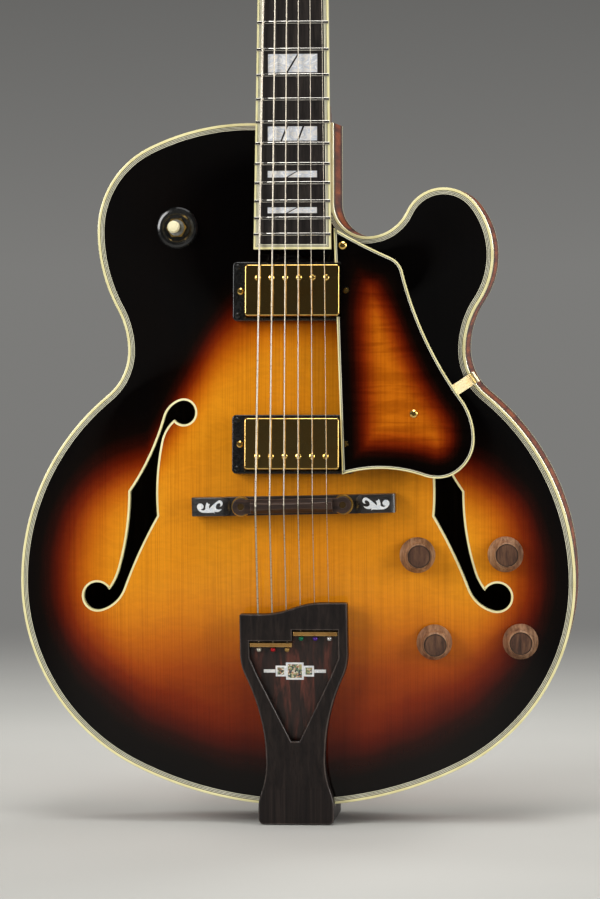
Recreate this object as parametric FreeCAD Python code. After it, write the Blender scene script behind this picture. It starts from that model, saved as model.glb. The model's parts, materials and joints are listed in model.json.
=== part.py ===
import FreeCAD, Part
import math
import os

# Archtop electric guitar, sizes in mm. x runs to the treble side, the front looks along -y and z runs up
# the neck. The origin lies on the underside of the tailpiece's foot, at the middle of the rim's depth.

# Body outline
foot_drop = 12.5
body_length = 502.6
lower_bout_width = 410.0
waist_width = 248.6
upper_bout_width = 293.0
tongue_half_width = 28.0
cutaway_radius = 24.5
rim_depth = 86.0
plate_thickness = 6.0
top_arch = 20.0
back_arch = 16.0
side_thickness = 3.0

# Neck and strings
scale_length = 628.0
joint_fret = 14
fret_count = 20
neck_angle = 4.0
board_height = 41.5
board_margin = 10.8
board_thickness = 6.0
board_radius = 305.0
nut_width = 45.0
end_width = 56.6
string_height = 4.5
string_spread = 52.0
nut_spread = 36.0
string_radii = [0.66, 0.53, 0.42, 0.33, 0.22, 0.16]

# Fits between pieces
glue_gap = 0.1
running_gap = 0.05
free_gap = 0.3

V = FreeCAD.Vector
half_depth = rim_depth / 2
body_top = foot_drop + body_length
bout_z = foot_drop + 0.329 * body_length
waist_z = foot_drop + 0.668 * body_length
shoulder_z = foot_drop + 0.843 * body_length
horn_side_z = foot_drop + 0.807 * body_length
horn_tip_z = foot_drop + 0.905 * body_length
cutaway_z = foot_drop + 0.834 * body_length
horn_side_x = 0.496 * upper_bout_width
horn_tip_x = 0.371 * upper_bout_width
cutaway_x = tongue_half_width + cutaway_radius
os.makedirs("parts", exist_ok=True)


def save(name, *solids):
    shape = solids[0] if len(solids) == 1 else Part.makeCompound(list(solids))
    shape.exportStep("parts/" + name + ".step")
    gathered = shape.Solids
    good = all(solid.isValid() for solid in gathered)
    print(name, len(gathered), "solids, valid", good, "volume %.1f" % shape.Volume)


# Outlines lie in the x-z plane as runs of tangent arcs: start, end, centre and signed radius.
# A pair of arcs joins two points at two headings, split by the ratio of its first tangent to its second.
def heading_normal(heading):
    turn = math.radians(heading)
    return (-math.sin(turn), math.cos(turn))


def arc_pair(start, start_heading, end, end_heading, ratio):
    leave = math.radians(start_heading)
    arrive = math.radians(end_heading)
    dx = end[0] - start[0]
    dz = end[1] - start[1]
    gap = dx * dx + dz * dz
    slant = dx * (ratio * math.cos(leave) + math.cos(arrive))
    slant += dz * (ratio * math.sin(leave) + math.sin(arrive))
    turn = 2 * ratio * (1 - math.cos(leave - arrive))
    second = gap / (slant + math.sqrt(slant * slant + turn * gap))
    first = ratio * second
    first_corner = (start[0] + first * math.cos(leave), start[1] + first * math.sin(leave))
    second_corner = (end[0] - second * math.cos(arrive), end[1] - second * math.sin(arrive))
    share = first / (first + second)
    meet = tuple(a + share * (b - a) for a, b in zip(first_corner, second_corner))
    arcs = []
    for point, heading in ((start, start_heading), (end, end_heading)):
        nx, nz = heading_normal(heading)
        wx = meet[0] - point[0]
        wz = meet[1] - point[1]
        radius = (wx * wx + wz * wz) / (2 * (wx * nx + wz * nz))
        arcs.append(((point[0] + radius * nx, point[1] + radius * nz), radius))
    return [(start, meet) + arcs[0], (meet, end) + arcs[1]]


def straight(start, end):
    return [(start, end, None, 0.0)]


def mirrored(run):
    flipped = []
    for start, end, centre, radius in reversed(run):
        middle = None if centre is None else (-centre[0], centre[1])
        flipped.append(((-end[0], end[1]), (-start[0], start[1]), middle, radius))
    return flipped


def left_normal(piece, point):
    start, end, centre, radius = piece
    if centre is None:
        length = math.hypot(end[0] - start[0], end[1] - start[1])
        return ((start[1] - end[1]) / length, (end[0] - start[0]) / length)
    return ((centre[0] - point[0]) / radius, (centre[1] - point[1]) / radius)


def shifted(piece, point, inset):
    nx, nz = left_normal(piece, point)
    return (point[0] + inset * nx, point[1] + inset * nz)


def nearest(places, near):
    return min(places, key=lambda place: math.hypot(place[0] - near[0], place[1] - near[1]))


def arc_corner(first, second, inset, near):
    ax, az = first[2]
    gap = math.hypot(second[2][0] - ax, second[2][1] - az)
    ux = (second[2][0] - ax) / gap
    uz = (second[2][1] - az) / gap
    reach = first[3] - inset
    along = (reach ** 2 - (second[3] - inset) ** 2 + gap ** 2) / (2 * gap)
    off = math.sqrt(max(reach ** 2 - along ** 2, 0))
    foot = (ax + along * ux, az + along * uz)
    return nearest([(foot[0] - side * uz, foot[1] + side * ux) for side in (-off, off)], near)


def corner_point(first, second, inset, near):
    if first[2] is not None and second[2] is not None:
        return arc_corner(first, second, inset, near)
    if first[2] is not None:
        first, second = second, first
    sx, sz = shifted(first, first[0], inset)
    length = math.hypot(first[1][0] - first[0][0], first[1][1] - first[0][1])
    dx = (first[1][0] - first[0][0]) / length
    dz = (first[1][1] - first[0][1]) / length
    if second[2] is None:
        ox, oz = shifted(second, second[0], inset)
        ex = second[1][0] - second[0][0]
        ez = second[1][1] - second[0][1]
        reach = ((ox - sx) * ez - (oz - sz) * ex) / (dx * ez - dz * ex)
        return (sx + reach * dx, sz + reach * dz)
    cx, cz = second[2]
    foot = (cx - sx) * dx + (cz - sz) * dz
    off = (cx - sx) ** 2 + (cz - sz) ** 2 - foot ** 2
    root = math.sqrt(max((second[3] - inset) ** 2 - off, 0))
    return nearest([(sx + reach * dx, sz + reach * dz) for reach in (foot - root, foot + root)], near)


def outline_edges(run, inset=0.0):
    ends = [[shifted(piece, piece[0], inset), shifted(piece, piece[1], inset)] for piece in run]
    if inset:
        for index in range(len(run)):
            before, after = ends[index - 1], ends[index]
            if math.hypot(before[1][0] - after[0][0], before[1][1] - after[0][1]) > 0.001:
                before[1] = corner_point(run[index - 1], run[index], inset, before[1])
                after[0] = before[1]
    edges = []
    for piece, (start, end) in zip(run, ends):
        a = V(start[0], 0, start[1])
        b = V(end[0], 0, end[1])
        if piece[2] is None:
            edges.append(Part.LineSegment(a, b).toShape())
            continue
        centre = V(piece[2][0], 0, piece[2][1])
        middle = (a + b) * 0.5 - centre
        middle = centre + middle * ((a - centre).Length / middle.Length)
        edges.append(Part.Arc(a, middle, b).toShape())
    return edges


def prism(edges, y_from, y_to):
    face = Part.Face(Part.Wire(edges))
    face.translate(V(0, y_from, 0))
    return face.extrude(V(0, y_to - y_from, 0))


def box(x0, x1, y0, y1, z0, z1):
    return Part.makeBox(x1 - x0, y1 - y0, z1 - z0, V(x0, y0, z0))


def tilted(point, angle):
    return FreeCAD.Placement(point, FreeCAD.Rotation(V(1, 0, 0), angle))


def aimed(point, direction):
    return FreeCAD.Placement(point, FreeCAD.Rotation(V(0, 0, 1), direction))


def polygon_solid(points, push):
    wire = Part.makePolygon(points + [points[0]])
    return Part.Face(wire).extrude(push)


def hexagon(radius, low, high):
    turns = [math.radians(60 * step) for step in range(6)]
    corners = [V(radius * math.cos(turn), radius * math.sin(turn), low) for turn in turns]
    return polygon_solid(corners, V(0, 0, high - low))


def turned(profile):
    wire = Part.makePolygon([V(r, 0, h) for r, h in profile + [profile[0]]])
    return Part.Face(wire).revolve(V(0, 0, 0), V(0, 0, 1), 360)


bottom = (0.0, foot_drop)
bout = (lower_bout_width / 2, bout_z)
waist = (waist_width / 2, waist_z)
horn_side = (horn_side_x, horn_side_z)
horn_tip = (horn_tip_x, horn_tip_z)
cutaway_floor = (cutaway_x, cutaway_z)
wall_foot = (tongue_half_width, cutaway_z + cutaway_radius)
wall_top = (tongue_half_width, body_top)
shoulder_start = (-1.19 * tongue_half_width, body_top)
shoulder_side = (-upper_bout_width / 2, shoulder_z)
lower_right = arc_pair(bottom, 0, bout, 90, 0.6628)
lower_right += arc_pair(bout, 90, waist, 90, 4.2168)
horn = arc_pair(waist, 90, horn_side, 90, 1.0229)
horn += arc_pair(horn_side, 90, horn_tip, 180, 1.4116)
cutaway = arc_pair(horn_tip, 180, cutaway_floor, 180, 0.9345)
floor_centre = (cutaway_x, cutaway_z + cutaway_radius)
cutaway += [(cutaway_floor, wall_foot, floor_centre, -cutaway_radius)]
cutaway += straight(wall_foot, wall_top)
shoulder = arc_pair(shoulder_start, 180, shoulder_side, 270, 0.9209)
upper_left = mirrored(arc_pair(waist, 90, (-shoulder_side[0], shoulder_z), 90, 0.5275))
left_half = shoulder + upper_left + mirrored(lower_right)
body_run = lower_right + horn + cutaway + straight(wall_top, shoulder_start) + left_half


# The arch falls to nothing at a flat margin along the outline and round the cutaway
flat_margin = 7.0
arch_centre_z = foot_drop + 0.42 * body_length
fade_reach = 45.0
grid_step = 18.0


def half_width(z):
    for start, end, centre, radius in left_half:
        if min(start[1], end[1]) <= z <= max(start[1], end[1]):
            side = 1 if (start[0] + end[0]) / 2 > centre[0] else -1
            return -centre[0] - side * math.sqrt(max(radius * radius - (z - centre[1]) ** 2, 0))
    return 0.0


def point_on(piece, share):
    start, end, centre, radius = piece
    x = start[0] + share * (end[0] - start[0])
    z = start[1] + share * (end[1] - start[1])
    if centre is None:
        return (x, z)
    stretch = abs(radius) / math.hypot(x - centre[0], z - centre[1])
    return (centre[0] + (x - centre[0]) * stretch, centre[1] + (z - centre[1]) * stretch)


cutaway_points = [point_on(piece, step / 12) for piece in cutaway for step in range(13)]


def arch(x, z, rise):
    reach = half_width(z) - flat_margin
    limit = body_top - flat_margin if z > arch_centre_z else foot_drop + flat_margin
    along = (z - arch_centre_z) / (limit - arch_centre_z)
    if reach <= 0 or abs(x) >= reach or along >= 1:
        return 0.0
    clear = min(math.hypot(x - px, z - pz) for px, pz in cutaway_points) - flat_margin
    part = min(max(clear / fade_reach, 0.0), 1.0)
    fade = part * part * (3 - 2 * part)
    return rise * fade * (1 - (x / reach) ** 2) ** 2 * (1 - along ** 2) ** 2


def top_y(x, z):
    return -half_depth - arch(x, z, top_arch)


def top_frame(x, z):
    step = 2.0
    slope_x = (top_y(x + step, z) - top_y(x - step, z)) / (2 * step)
    slope_z = (top_y(x, z + step) - top_y(x, z - step)) / (2 * step)
    outward = V(slope_x, -1, slope_z).normalize()
    return aimed(V(x, top_y(x, z), z), outward)


def arched_slab(rise, side, depth_from, depth_to):
    columns = 2 * math.ceil(0.53 * lower_bout_width / grid_step)
    rows = math.ceil(1.06 * body_length / grid_step)
    grid = []
    for i in range(columns + 1):
        x = (i - columns / 2) * grid_step
        line = []
        for j in range(rows + 1):
            z = (j - 0.5) * grid_step
            line.append(V(x, side * (half_depth + arch(x, z, rise) - depth_from), z))
        grid.append(line)
    surface = Part.BSplineSurface()
    surface.interpolate(grid)
    return surface.toShape().extrude(V(0, side * (depth_from - depth_to), 0))


# Body: plates, sides, linings, blocks, bars and bindings
binding_width = 2.0
purfling_width = 3.0
purfling_depth = 1.5
lining_width = 6.5
lining_depth = 13.0
neck_block_length = 58.0
neck_block_left = 40.0
tail_block_half_width = 36.0
tail_block_length = 32.0
bar_offset = 46.0
bar_width = 8.0
bar_depth = 11.0
tenon_half_width = 13.0
tenon_length = 34.0
bridge_z = body_top - scale_length * 2 ** (-joint_fret / 12) * math.cos(math.radians(neck_angle))
board_start = scale_length * 2 ** (-fret_count / 12) - board_margin
half_bout = lower_bout_width / 2
half_waist = waist_width / 2
tail_span = bridge_z - foot_drop
margin_width = binding_width + purfling_width
inner_y = half_depth - plate_thickness
clear_of_body = 4 * top_arch

# The f-hole in the treble half: lobes, nicks and the notches where stem and lobe meet
upper_lobe = (0.4015 * half_bout, bridge_z + 0.2997 * tail_span)
upper_lobe_radius = 8.8
lower_lobe = (0.7205 * half_bout, bridge_z - 0.3073 * tail_span)
lower_lobe_radius = 10.2
upper_notch_angle = -37.0
upper_leave_angle = 70.0
lower_notch_angle = 153.0
lower_leave_angle = -105.0
outer_nick = (0.5971 * half_bout, bridge_z + 0.0385 * tail_span)
inner_nick = (0.4976 * half_bout, bridge_z - 0.0394 * tail_span)
f_binding_width = 1.5


def on_circle(centre, radius, angle):
    turn = math.radians(angle)
    return (centre[0] + radius * math.cos(turn), centre[1] + radius * math.sin(turn))


def lobe_arc(centre, radius, angle_from, angle_to):
    start = on_circle(centre, radius, angle_from)
    middle = on_circle(centre, radius, (angle_from + angle_to) / 2)
    end = on_circle(centre, radius, angle_to)
    return [(start, middle, centre, -radius), (middle, end, centre, -radius)]


upper_turn = upper_leave_angle - 360
f_run = lobe_arc(upper_lobe, upper_lobe_radius, upper_notch_angle, upper_turn)
f_run += arc_pair(f_run[-1][1], upper_turn - 90, outer_nick, -55, 0.3006)
lower_notch = on_circle(lower_lobe, lower_lobe_radius, lower_notch_angle)
f_run += arc_pair(outer_nick, -90, lower_notch, -52, 3.5187)
lobe = lobe_arc(lower_lobe, lower_lobe_radius, lower_notch_angle, lower_leave_angle)
f_run += lobe
f_run += arc_pair(lobe[-1][1], lower_leave_angle - 90, inner_nick, 120, 0.447)
f_run += arc_pair(inner_nick, 85, f_run[0][0], 140, 2.7671)


def f_prism(spread):
    return prism(outline_edges(f_run, spread), -clear_of_body, 0)


def both_hands(shape):
    return [shape, shape.mirror(V(0, 0, 0), V(1, 0, 0))]


def rim_prism(inset, y_from=-clear_of_body, y_to=clear_of_body):
    return prism(outline_edges(body_run, inset), y_from, y_to)


def rim_ring(inset_from, inset_to, y_from, y_to):
    return rim_prism(inset_from, y_from, y_to).cut(rim_prism(inset_to, y_from, y_to))


# Openings through the top plate
neck_pickup_gap = 30.0
bridge_pickup_gap = 45.5
bridge_pickup_z = bridge_z + bridge_pickup_gap
neck_pickup_z = bridge_z + board_start - neck_pickup_gap
pickup_length = 69.4
pickup_width = 37.6
pickup_room = 1.2
control_hole_radius = 4.9
volume_z = bridge_z - 0.1655 * tail_span
tone_z = bridge_z - 0.4518 * tail_span
knob_places = [
    (0.4366 * half_bout, volume_z),
    (0.7488 * half_bout, volume_z),
    (0.4951 * half_bout, tone_z),
    (0.8024 * half_bout, tone_z),
]
switch_drop = 76.6
switch_place = (-0.297 * upper_bout_width, body_top - switch_drop)
switch_hole_radius = 6.2


def through_top(x, z, radius):
    bore = Part.makeCylinder(radius, clear_of_body, V(0, 0, -clear_of_body / 2))
    bore.Placement = top_frame(x, z)
    return bore


# The strings' plane, which the pickups lie along
nut_string_rise = 0.9
string_y = -half_depth - board_height - string_height
string_tilt = neck_angle + math.degrees(math.atan((string_height - nut_string_rise) / scale_length))


def string_plane_y(z):
    return string_y + (z - bridge_z) * math.tan(math.radians(string_tilt))


def string_frame(z, drop):
    return tilted(V(0, string_plane_y(z) + drop, z), -string_tilt)


openings = []
for z in (bridge_pickup_z, neck_pickup_z):
    long_half = pickup_length / 2 + pickup_room
    wide_half = pickup_width / 2 + pickup_room
    pickup_opening = box(-long_half, long_half, 0, clear_of_body, -wide_half, wide_half)
    pickup_opening.Placement = string_frame(z, 0)
    openings.append(pickup_opening)
for x, z in knob_places:
    openings.append(through_top(x, z, control_hole_radius))
openings.append(through_top(switch_place[0], switch_place[1], switch_hole_radius))
openings += both_hands(f_prism(f_binding_width + glue_gap))

top_slab = arched_slab(top_arch, -1, 0.0, plate_thickness)
back_slab = arched_slab(back_arch, 1, 0.0, plate_thickness)
rabbet_y = half_depth - purfling_depth - glue_gap
plate_prism = rim_prism(binding_width + glue_gap)
rabbet_top = rim_ring(0.5, margin_width + glue_gap, -half_depth - 1, -rabbet_y)
rabbet_back = rim_ring(0.5, margin_width + glue_gap, rabbet_y, half_depth + 1)
top_plate = top_slab.common(plate_prism).cut([rabbet_top] + openings)
back_plate = back_slab.common(plate_prism).cut(rabbet_back)
save("top_plate", top_plate)
save("back_plate", back_plate)


def binding(side):
    face_y = side * half_depth
    wall = [face_y, side * inner_y]
    skin = [face_y, side * (half_depth - purfling_depth)]
    strip = rim_ring(0, binding_width, min(wall), max(wall))
    return strip.fuse(rim_ring(0, margin_width, min(skin), max(skin))).removeSplitter()


save("body_bindings", binding(-1), binding(1))
f_ring = f_prism(f_binding_width).cut(f_prism(0))
save("f_hole_bindings", *[top_slab.common(ring) for ring in both_hands(f_ring)])

# Sides meet at the tail, where the jack comes through, and leave a gap for the neck tenon
jack_bore_radius = 3.25
jack_thread_radius = 4.7
jack_place_y = 24.0
jack_frame = aimed(V(0, jack_place_y, foot_drop), V(0, 0, -1))
jack_hole_start = V(0, 0, -tail_block_length - 1)
jack_hole = Part.makeCylinder(jack_thread_radius + running_gap, tail_block_length + 2, jack_hole_start)
jack_hole.Placement = jack_frame
tail_screw_radius = 2.0
tail_screw_length = 38.0
tail_screw_hole = Part.makeCylinder(tail_screw_radius + glue_gap, tail_screw_length + 1)
tail_holes = [tail_screw_hole, jack_hole]
strap_screw_length = 20.0
strap_screw_radius = 1.7
side_y = inner_y - glue_gap
wide = lower_bout_width
tall = body_top + foot_drop
rim = rim_ring(0, side_thickness, -side_y, side_y)
tenon_gap = box(-tenon_half_width - 1, tenon_half_width + 1, -side_y, side_y, body_top - 9, tall)
rim = rim.cut([tenon_gap] + tail_holes)
save("bass_side", rim.common(box(-wide, -glue_gap / 2, -wide, wide, 0, tall)))
save("treble_side", rim.common(box(glue_gap / 2, wide, -wide, wide, 0, tall)))

# The room between the plates and inside the sides
over_top = arched_slab(top_arch, -1, -clear_of_body, plate_thickness + glue_gap)
over_back = arched_slab(back_arch, 1, -clear_of_body, plate_thickness + glue_gap)
room = rim_prism(side_thickness + glue_gap).cut([over_top, over_back])
neck_block_z = body_top - neck_block_length
neck_zone = box(-neck_block_left, tongue_half_width, -wide, wide, neck_block_z, tall)
tail_zone = box(-tail_block_half_width, tail_block_half_width, -wide, wide, 0, foot_drop + tail_block_length)
neck_block_left_face = -neck_block_left + free_gap
neck_block_blank = box(neck_block_left_face, tongue_half_width, -wide, wide, neck_block_z + free_gap, tall)
tail_reach = tail_block_half_width - free_gap
tail_block_blank = box(-tail_reach, tail_reach, -wide, wide, 0, foot_drop + tail_block_length - free_gap)
tenon_half = tenon_half_width + glue_gap
tenon_end = body_top - tenon_length - glue_gap
mortise = box(-tenon_half, tenon_half, -inner_y + 6, inner_y - 6, tenon_end, tall)
neck_block = room.common(neck_block_blank).cut(mortise)
tail_block = room.common(tail_block_blank).cut(tail_holes)
save("end_blocks", neck_block, tail_block)
lining_band = rim_prism(side_thickness + glue_gap).cut(rim_prism(side_thickness + lining_width))
lining_band = lining_band.common(room).cut([neck_zone, tail_zone])
top_band = box(-wide, wide, -wide, -inner_y + lining_depth, 0, tall)
back_band = box(-wide, wide, inner_y - lining_depth, wide, 0, tall)
top_linings = lining_band.common(top_band)
back_linings = lining_band.common(back_band)
save("linings", *(top_linings.Solids + back_linings.Solids))
bar_bottom = foot_drop + 0.17 * body_length
bar_top = cutaway_z - 16.0
near_edge = bar_offset - bar_width / 2
far_edge = bar_offset + bar_width / 2
bar_blank = box(near_edge, far_edge, -clear_of_body, -inner_y, bar_bottom, bar_top)
under_bar = arched_slab(top_arch, -1, plate_thickness + bar_depth, inner_y)
bar = bar_blank.common(room).cut(under_bar)
save("tone_bars", *both_hands(bar))


# Neck: everything below is drawn along the fretboard, x across, y into the neck, z from the bridge line
board_binding_width = 4.0
fret_width = 2.3
fret_rise = 1.0
inlay_half_width = 18.0
inlay_thickness = 1.2
inlay_seam = 1.4
nut_length = 5.0
nut_rise = 1.7
shaft_depth_nut = 15.0
shaft_depth_heel = 18.0
heel_reach = 9.0
heel_half_width = 17.0
heel_cap_thickness = 2.0
rod_radius = 2.5
rod_depth = 6.0
rod_start = 0.478 * scale_length
rod_end = scale_length + 12.0
head_angle = 13.0
head_length = 178.0
head_thickness = 15.0
veneer_thickness = 1.5
head_waist = 36.0
head_top_half = 42.0

board_frame = tilted(V(0, -half_depth - board_height, bridge_z), -neck_angle)
head_tilt = tilted(V(0, board_thickness, scale_length), -head_angle)
head_frame = board_frame.multiply(head_tilt)


def placed(shape, frame):
    moved = shape.copy()
    moved.Placement = frame.multiply(shape.Placement)
    return moved


def board_half(z):
    share = (scale_length - z) / (scale_length - board_start)
    return (nut_width + share * (end_width - nut_width)) / 2


def fret_z(number):
    return scale_length * 2 ** (-number / 12)


def board_blank(inset):
    low = board_start + inset
    corners = [
        V(-board_half(low) + inset, board_thickness, low),
        V(board_half(low) - inset, board_thickness, low),
        V(nut_width / 2 - inset, board_thickness, scale_length),
        V(-nut_width / 2 + inset, board_thickness, scale_length),
    ]
    return polygon_solid(corners, V(0, -2 * board_thickness, 0))


def camber(lift):
    return Part.makeCylinder(board_radius + lift, 2 * scale_length, V(0, board_radius, 0))


# Fretboard inlays: blocks with leaning seams, thinner bars above the fifteenth fret
inlay_plan = [(1, 0.72, 2), (3, 0.72, 2), (5, 0.72, 2), (7, 0.72, 2), (9, 0.72, 2)]
inlay_plan += [(12, 0.72, 1), (15, 0.66, 2), (17, 0.34, 1), (19, 0.34, 1)]


def inlay_pieces(number, share, seams, spread, depth):
    low = fret_z(number)
    high = fret_z(number - 1)
    middle = (low + high) / 2 - 0.04 * (high - low)
    half = share * (high - low) / 2 + spread
    side = min(inlay_half_width, board_half(middle) - board_binding_width - 1) + spread
    lean = 0.45 * inlay_half_width / seams
    pieces = []
    for index in range(seams + 1):
        left = -side + 2 * side * index / (seams + 1) + inlay_seam / 2 - spread
        right = -side + 2 * side * (index + 1) / (seams + 1) - inlay_seam / 2 + spread
        left_lean = 0 if index == 0 else lean / 2
        right_lean = 0 if index == seams else lean / 2
        left = -side if index == 0 else left
        right = side if index == seams else right
        corners = [
            V(left - left_lean, depth, middle - half),
            V(right - right_lean, depth, middle - half),
            V(right + right_lean, depth, middle + half),
            V(left + left_lean, depth, middle + half),
        ]
        pieces.append(polygon_solid(corners, V(0, -2 * board_thickness, 0)))
    return pieces


sag = board_radius - math.sqrt(board_radius ** 2 - inlay_half_width ** 2)
inlays = []
pockets = []
for number, share, seams in inlay_plan:
    for solid in inlay_pieces(number, share, seams, 0.0, inlay_thickness + sag):
        inlays.append(placed(solid.common(camber(0)), board_frame))
    pockets += inlay_pieces(number, share, seams, running_gap, inlay_thickness + sag + running_gap)
core = board_blank(board_binding_width + running_gap).common(camber(0)).cut(pockets)
edge = board_blank(0).cut(board_blank(board_binding_width)).common(camber(0))
save("fretboard", placed(core, board_frame))
save("fretboard_binding", placed(edge, board_frame))
save("fret_inlays", *inlays)
frets = []
crown = camber(fret_rise).cut(camber(running_gap))
for number in range(1, fret_count + 1):
    z = fret_z(number)
    half = board_half(z) - 0.2
    fret_low = z - fret_width / 2
    fret_slab = box(-half, half, -board_thickness, board_thickness, fret_low, fret_low + fret_width)
    fret = crown.common(fret_slab)
    arcs = [edge for edge in fret.Edges if edge.Length > nut_width / 2]
    long_edges = [edge for edge in arcs if edge.Curve.Radius > board_radius + fret_rise / 2]
    frets.append(placed(fret.makeFillet(0.7 * fret_rise, long_edges), board_frame))
save("frets", *frets)


# Neck shaft, heel, tongue under the fretboard, tenon and headstock are one piece of wood
def half_oval(half, reach, frame):
    quarter = arc_pair((half, 0.0), 90, (0.0, reach), 180, 0.75)
    edges = outline_edges(quarter + mirrored(quarter) + straight((-half, 0.0), (half, 0.0)))
    wire = Part.Wire(edges)
    wire.Placement = frame
    return wire


def shaft_section(z, half, depth):
    return half_oval(half, depth, tilted(V(0, board_thickness, z), -90))


def heel_section(y, half, reach):
    return half_oval(half, reach, FreeCAD.Placement(V(0, y, body_top + glue_gap), FreeCAD.Rotation()))


joint_z = fret_z(joint_fret)
shaft = Part.makeLoft(
    [
        shaft_section(joint_z + 6, board_half(joint_z) - 0.4, shaft_depth_heel),
        shaft_section(scale_length + 2, nut_width / 2 - 0.2, shaft_depth_nut),
    ],
    True,
    True,
)
shaft = placed(shaft, board_frame)
heel_back_y = half_depth - heel_cap_thickness
shaft_back_y = -half_depth - board_height + board_thickness + shaft_depth_heel
shaft_back_y += joint_z * math.sin(math.radians(neck_angle))
heel = Part.makeLoft(
    [
        heel_section(heel_back_y, heel_half_width, heel_reach),
        heel_section(heel_back_y - 30, heel_half_width + 2.0, heel_reach + 2),
        heel_section(heel_back_y - 58, heel_half_width + 5.0, heel_reach + 8),
        heel_section(shaft_back_y, board_half(joint_z) - 2.0, heel_reach + 24),
    ],
    True,
)
joint_half = board_half(joint_z) - 1
bed_y = -half_depth - board_height + board_thickness
heel_top = box(-joint_half, joint_half, bed_y, shaft_back_y + 1, body_top + glue_gap, body_top + 12)
over_board = placed(box(-wide, wide, -wide, board_thickness, 0, scale_length), board_frame)
tongue_margin = 1.5
tongue_half = end_width / 2 - tongue_margin
tongue_low = board_start + tongue_margin
tongue_blank = box(-tongue_half, tongue_half, board_thickness, rim_depth, tongue_low, joint_z + 8)
tongue = placed(tongue_blank, board_frame)
below_top = arched_slab(top_arch, -1, -free_gap, 2 * half_depth)
tongue = tongue.cut(below_top)
tenon_y = inner_y - 6 - glue_gap
tenon = box(-tenon_half_width, tenon_half_width, -tenon_y, tenon_y, body_top - tenon_length, body_top + 4)


def head_plate(y_from, y_to):
    right = arc_pair((nut_width / 2, 0.0), 90, (head_waist, 46.0), 82, 0.6837)
    right += straight(right[-1][1], (head_top_half, head_length - 16))
    top = arc_pair((head_top_half, head_length - 16), 115, (0.0, head_length), 180, 4.8253)
    side = right + top
    edges = outline_edges(side) + outline_edges(mirrored(side))
    edges += outline_edges(straight((-nut_width / 2, 0.0), (nut_width / 2, 0.0)))
    return prism(edges, y_from, y_to)


nut_seat = nut_length + running_gap
head_core = placed(head_plate(veneer_thickness, head_thickness), head_frame)
veneer_start = box(-wide, wide, -wide, wide, -5, nut_seat + 0.5)
veneer = placed(head_plate(0, veneer_thickness - running_gap).cut(veneer_start), head_frame)
rod_y = board_thickness + rod_depth
slot_half = rod_radius + free_gap
rod_slot = placed(box(-slot_half, slot_half, 0, rod_y + slot_half, rod_start - 1, rod_end + 2), board_frame)
rod_pocket_half = 6.0
rod_pocket_end = 34.0
head_pocket = box(-rod_pocket_half, rod_pocket_half, -5, 11, nut_seat + 1.5, rod_pocket_end)
head_pocket = placed(head_pocket, head_frame)
nut_room = placed(box(-wide, wide, -30, board_thickness, scale_length, scale_length + nut_seat), board_frame)
neck = shaft.fuse([heel, heel_top, tongue, tenon, head_core])
tuner_rows = [52.0, 92.0, 132.0]
tuner_inset = 27.0
bushing_radius = 4.8
post_holes = []
for hand in (-1, 1):
    for row in tuner_rows:
        hole = Part.makeCylinder(bushing_radius + glue_gap, 3 * head_thickness, V(0, 0, 0), V(0, 1, 0))
        hole.translate(V(hand * tuner_inset, -head_thickness, row))
        post_holes.append(placed(hole, head_frame))
heel_screw_z = body_top + 5.0
heel_screw_hole = Part.makeCylinder(strap_screw_radius + glue_gap, strap_screw_length + 10)
heel_screw_frame = aimed(V(0, half_depth + 1, heel_screw_z), V(0, -1, 0))
heel_screw_hole.Placement = heel_screw_frame
neck = neck.cut([over_board, rod_slot, head_pocket, nut_room, heel_screw_hole] + post_holes)
save("neck", neck)
cap = Part.Face(heel_section(heel_back_y + glue_gap, heel_half_width, heel_reach))
cap = cap.extrude(V(0, heel_cap_thickness - glue_gap, 0)).cut(heel_screw_hole)
save("heel_cap", cap)
veneer = veneer.cut([head_pocket, nut_room] + post_holes)
save("headstock_veneer", veneer)
rod = Part.makeCylinder(rod_radius, rod_end - rod_start, V(0, rod_y, rod_start))
rod_nut = hexagon(3.6, rod_end - 6, rod_end + 2)
rod_nut.translate(V(0, rod_y, 0))
rod = rod.fuse(rod_nut)
save("truss_rod", placed(rod, board_frame))


# Truss rod cover, nut and the path of each string from tailpiece to tuner post
cover_thickness = 2.0
cover_seat = 0.1
cover_corners = [(-9.5, 7.5), (9.5, 7.5), (8.5, 20.0), (4.5, 33.0), (0.0, 38.0), (-4.5, 33.0), (-8.5, 20.0)]
cover_points = [V(x, -cover_seat, z) for x, z in cover_corners]
rod_cover = polygon_solid(cover_points, V(0, -cover_thickness, 0))
cover_screw_rows = [11.0, 33.5]
cover_screw_radius = 0.9
cover_holes = []
for row in cover_screw_rows:
    hole = Part.makeCylinder(cover_screw_radius + running_gap, 12, V(0, -6, row), V(0, 1, 0))
    cover_holes.append(hole)
save("truss_rod_cover", placed(rod_cover.cut(cover_holes), head_frame))

saddle_turn = -1.2
ball_radius = 1.9
string_bend = 6.0
post_radius = 3.0
post_rise = 17.0
wind_depth = 9.0
post_eye_radius = 0.9
string_count = len(string_radii)
tail_high_side = bridge_z - 0.3187 * tail_span
tail_ridge = 0.1547 * tail_high_side
tail_front = 12.5
tail_lean = 8.33
tail_y = -half_depth - tail_front
bass_ball_z = bridge_z - 0.4742 * tail_span
treble_ball_z = bridge_z - 0.437 * tail_span
ball_depth = 4.6


def tail_face_y(z, depth):
    return tail_y - (z - tail_ridge) * math.tan(math.radians(tail_lean)) + depth


def along_strings(low, high):
    return [low + (high - low) * index / (string_count - 1) for index in range(string_count)]


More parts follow.
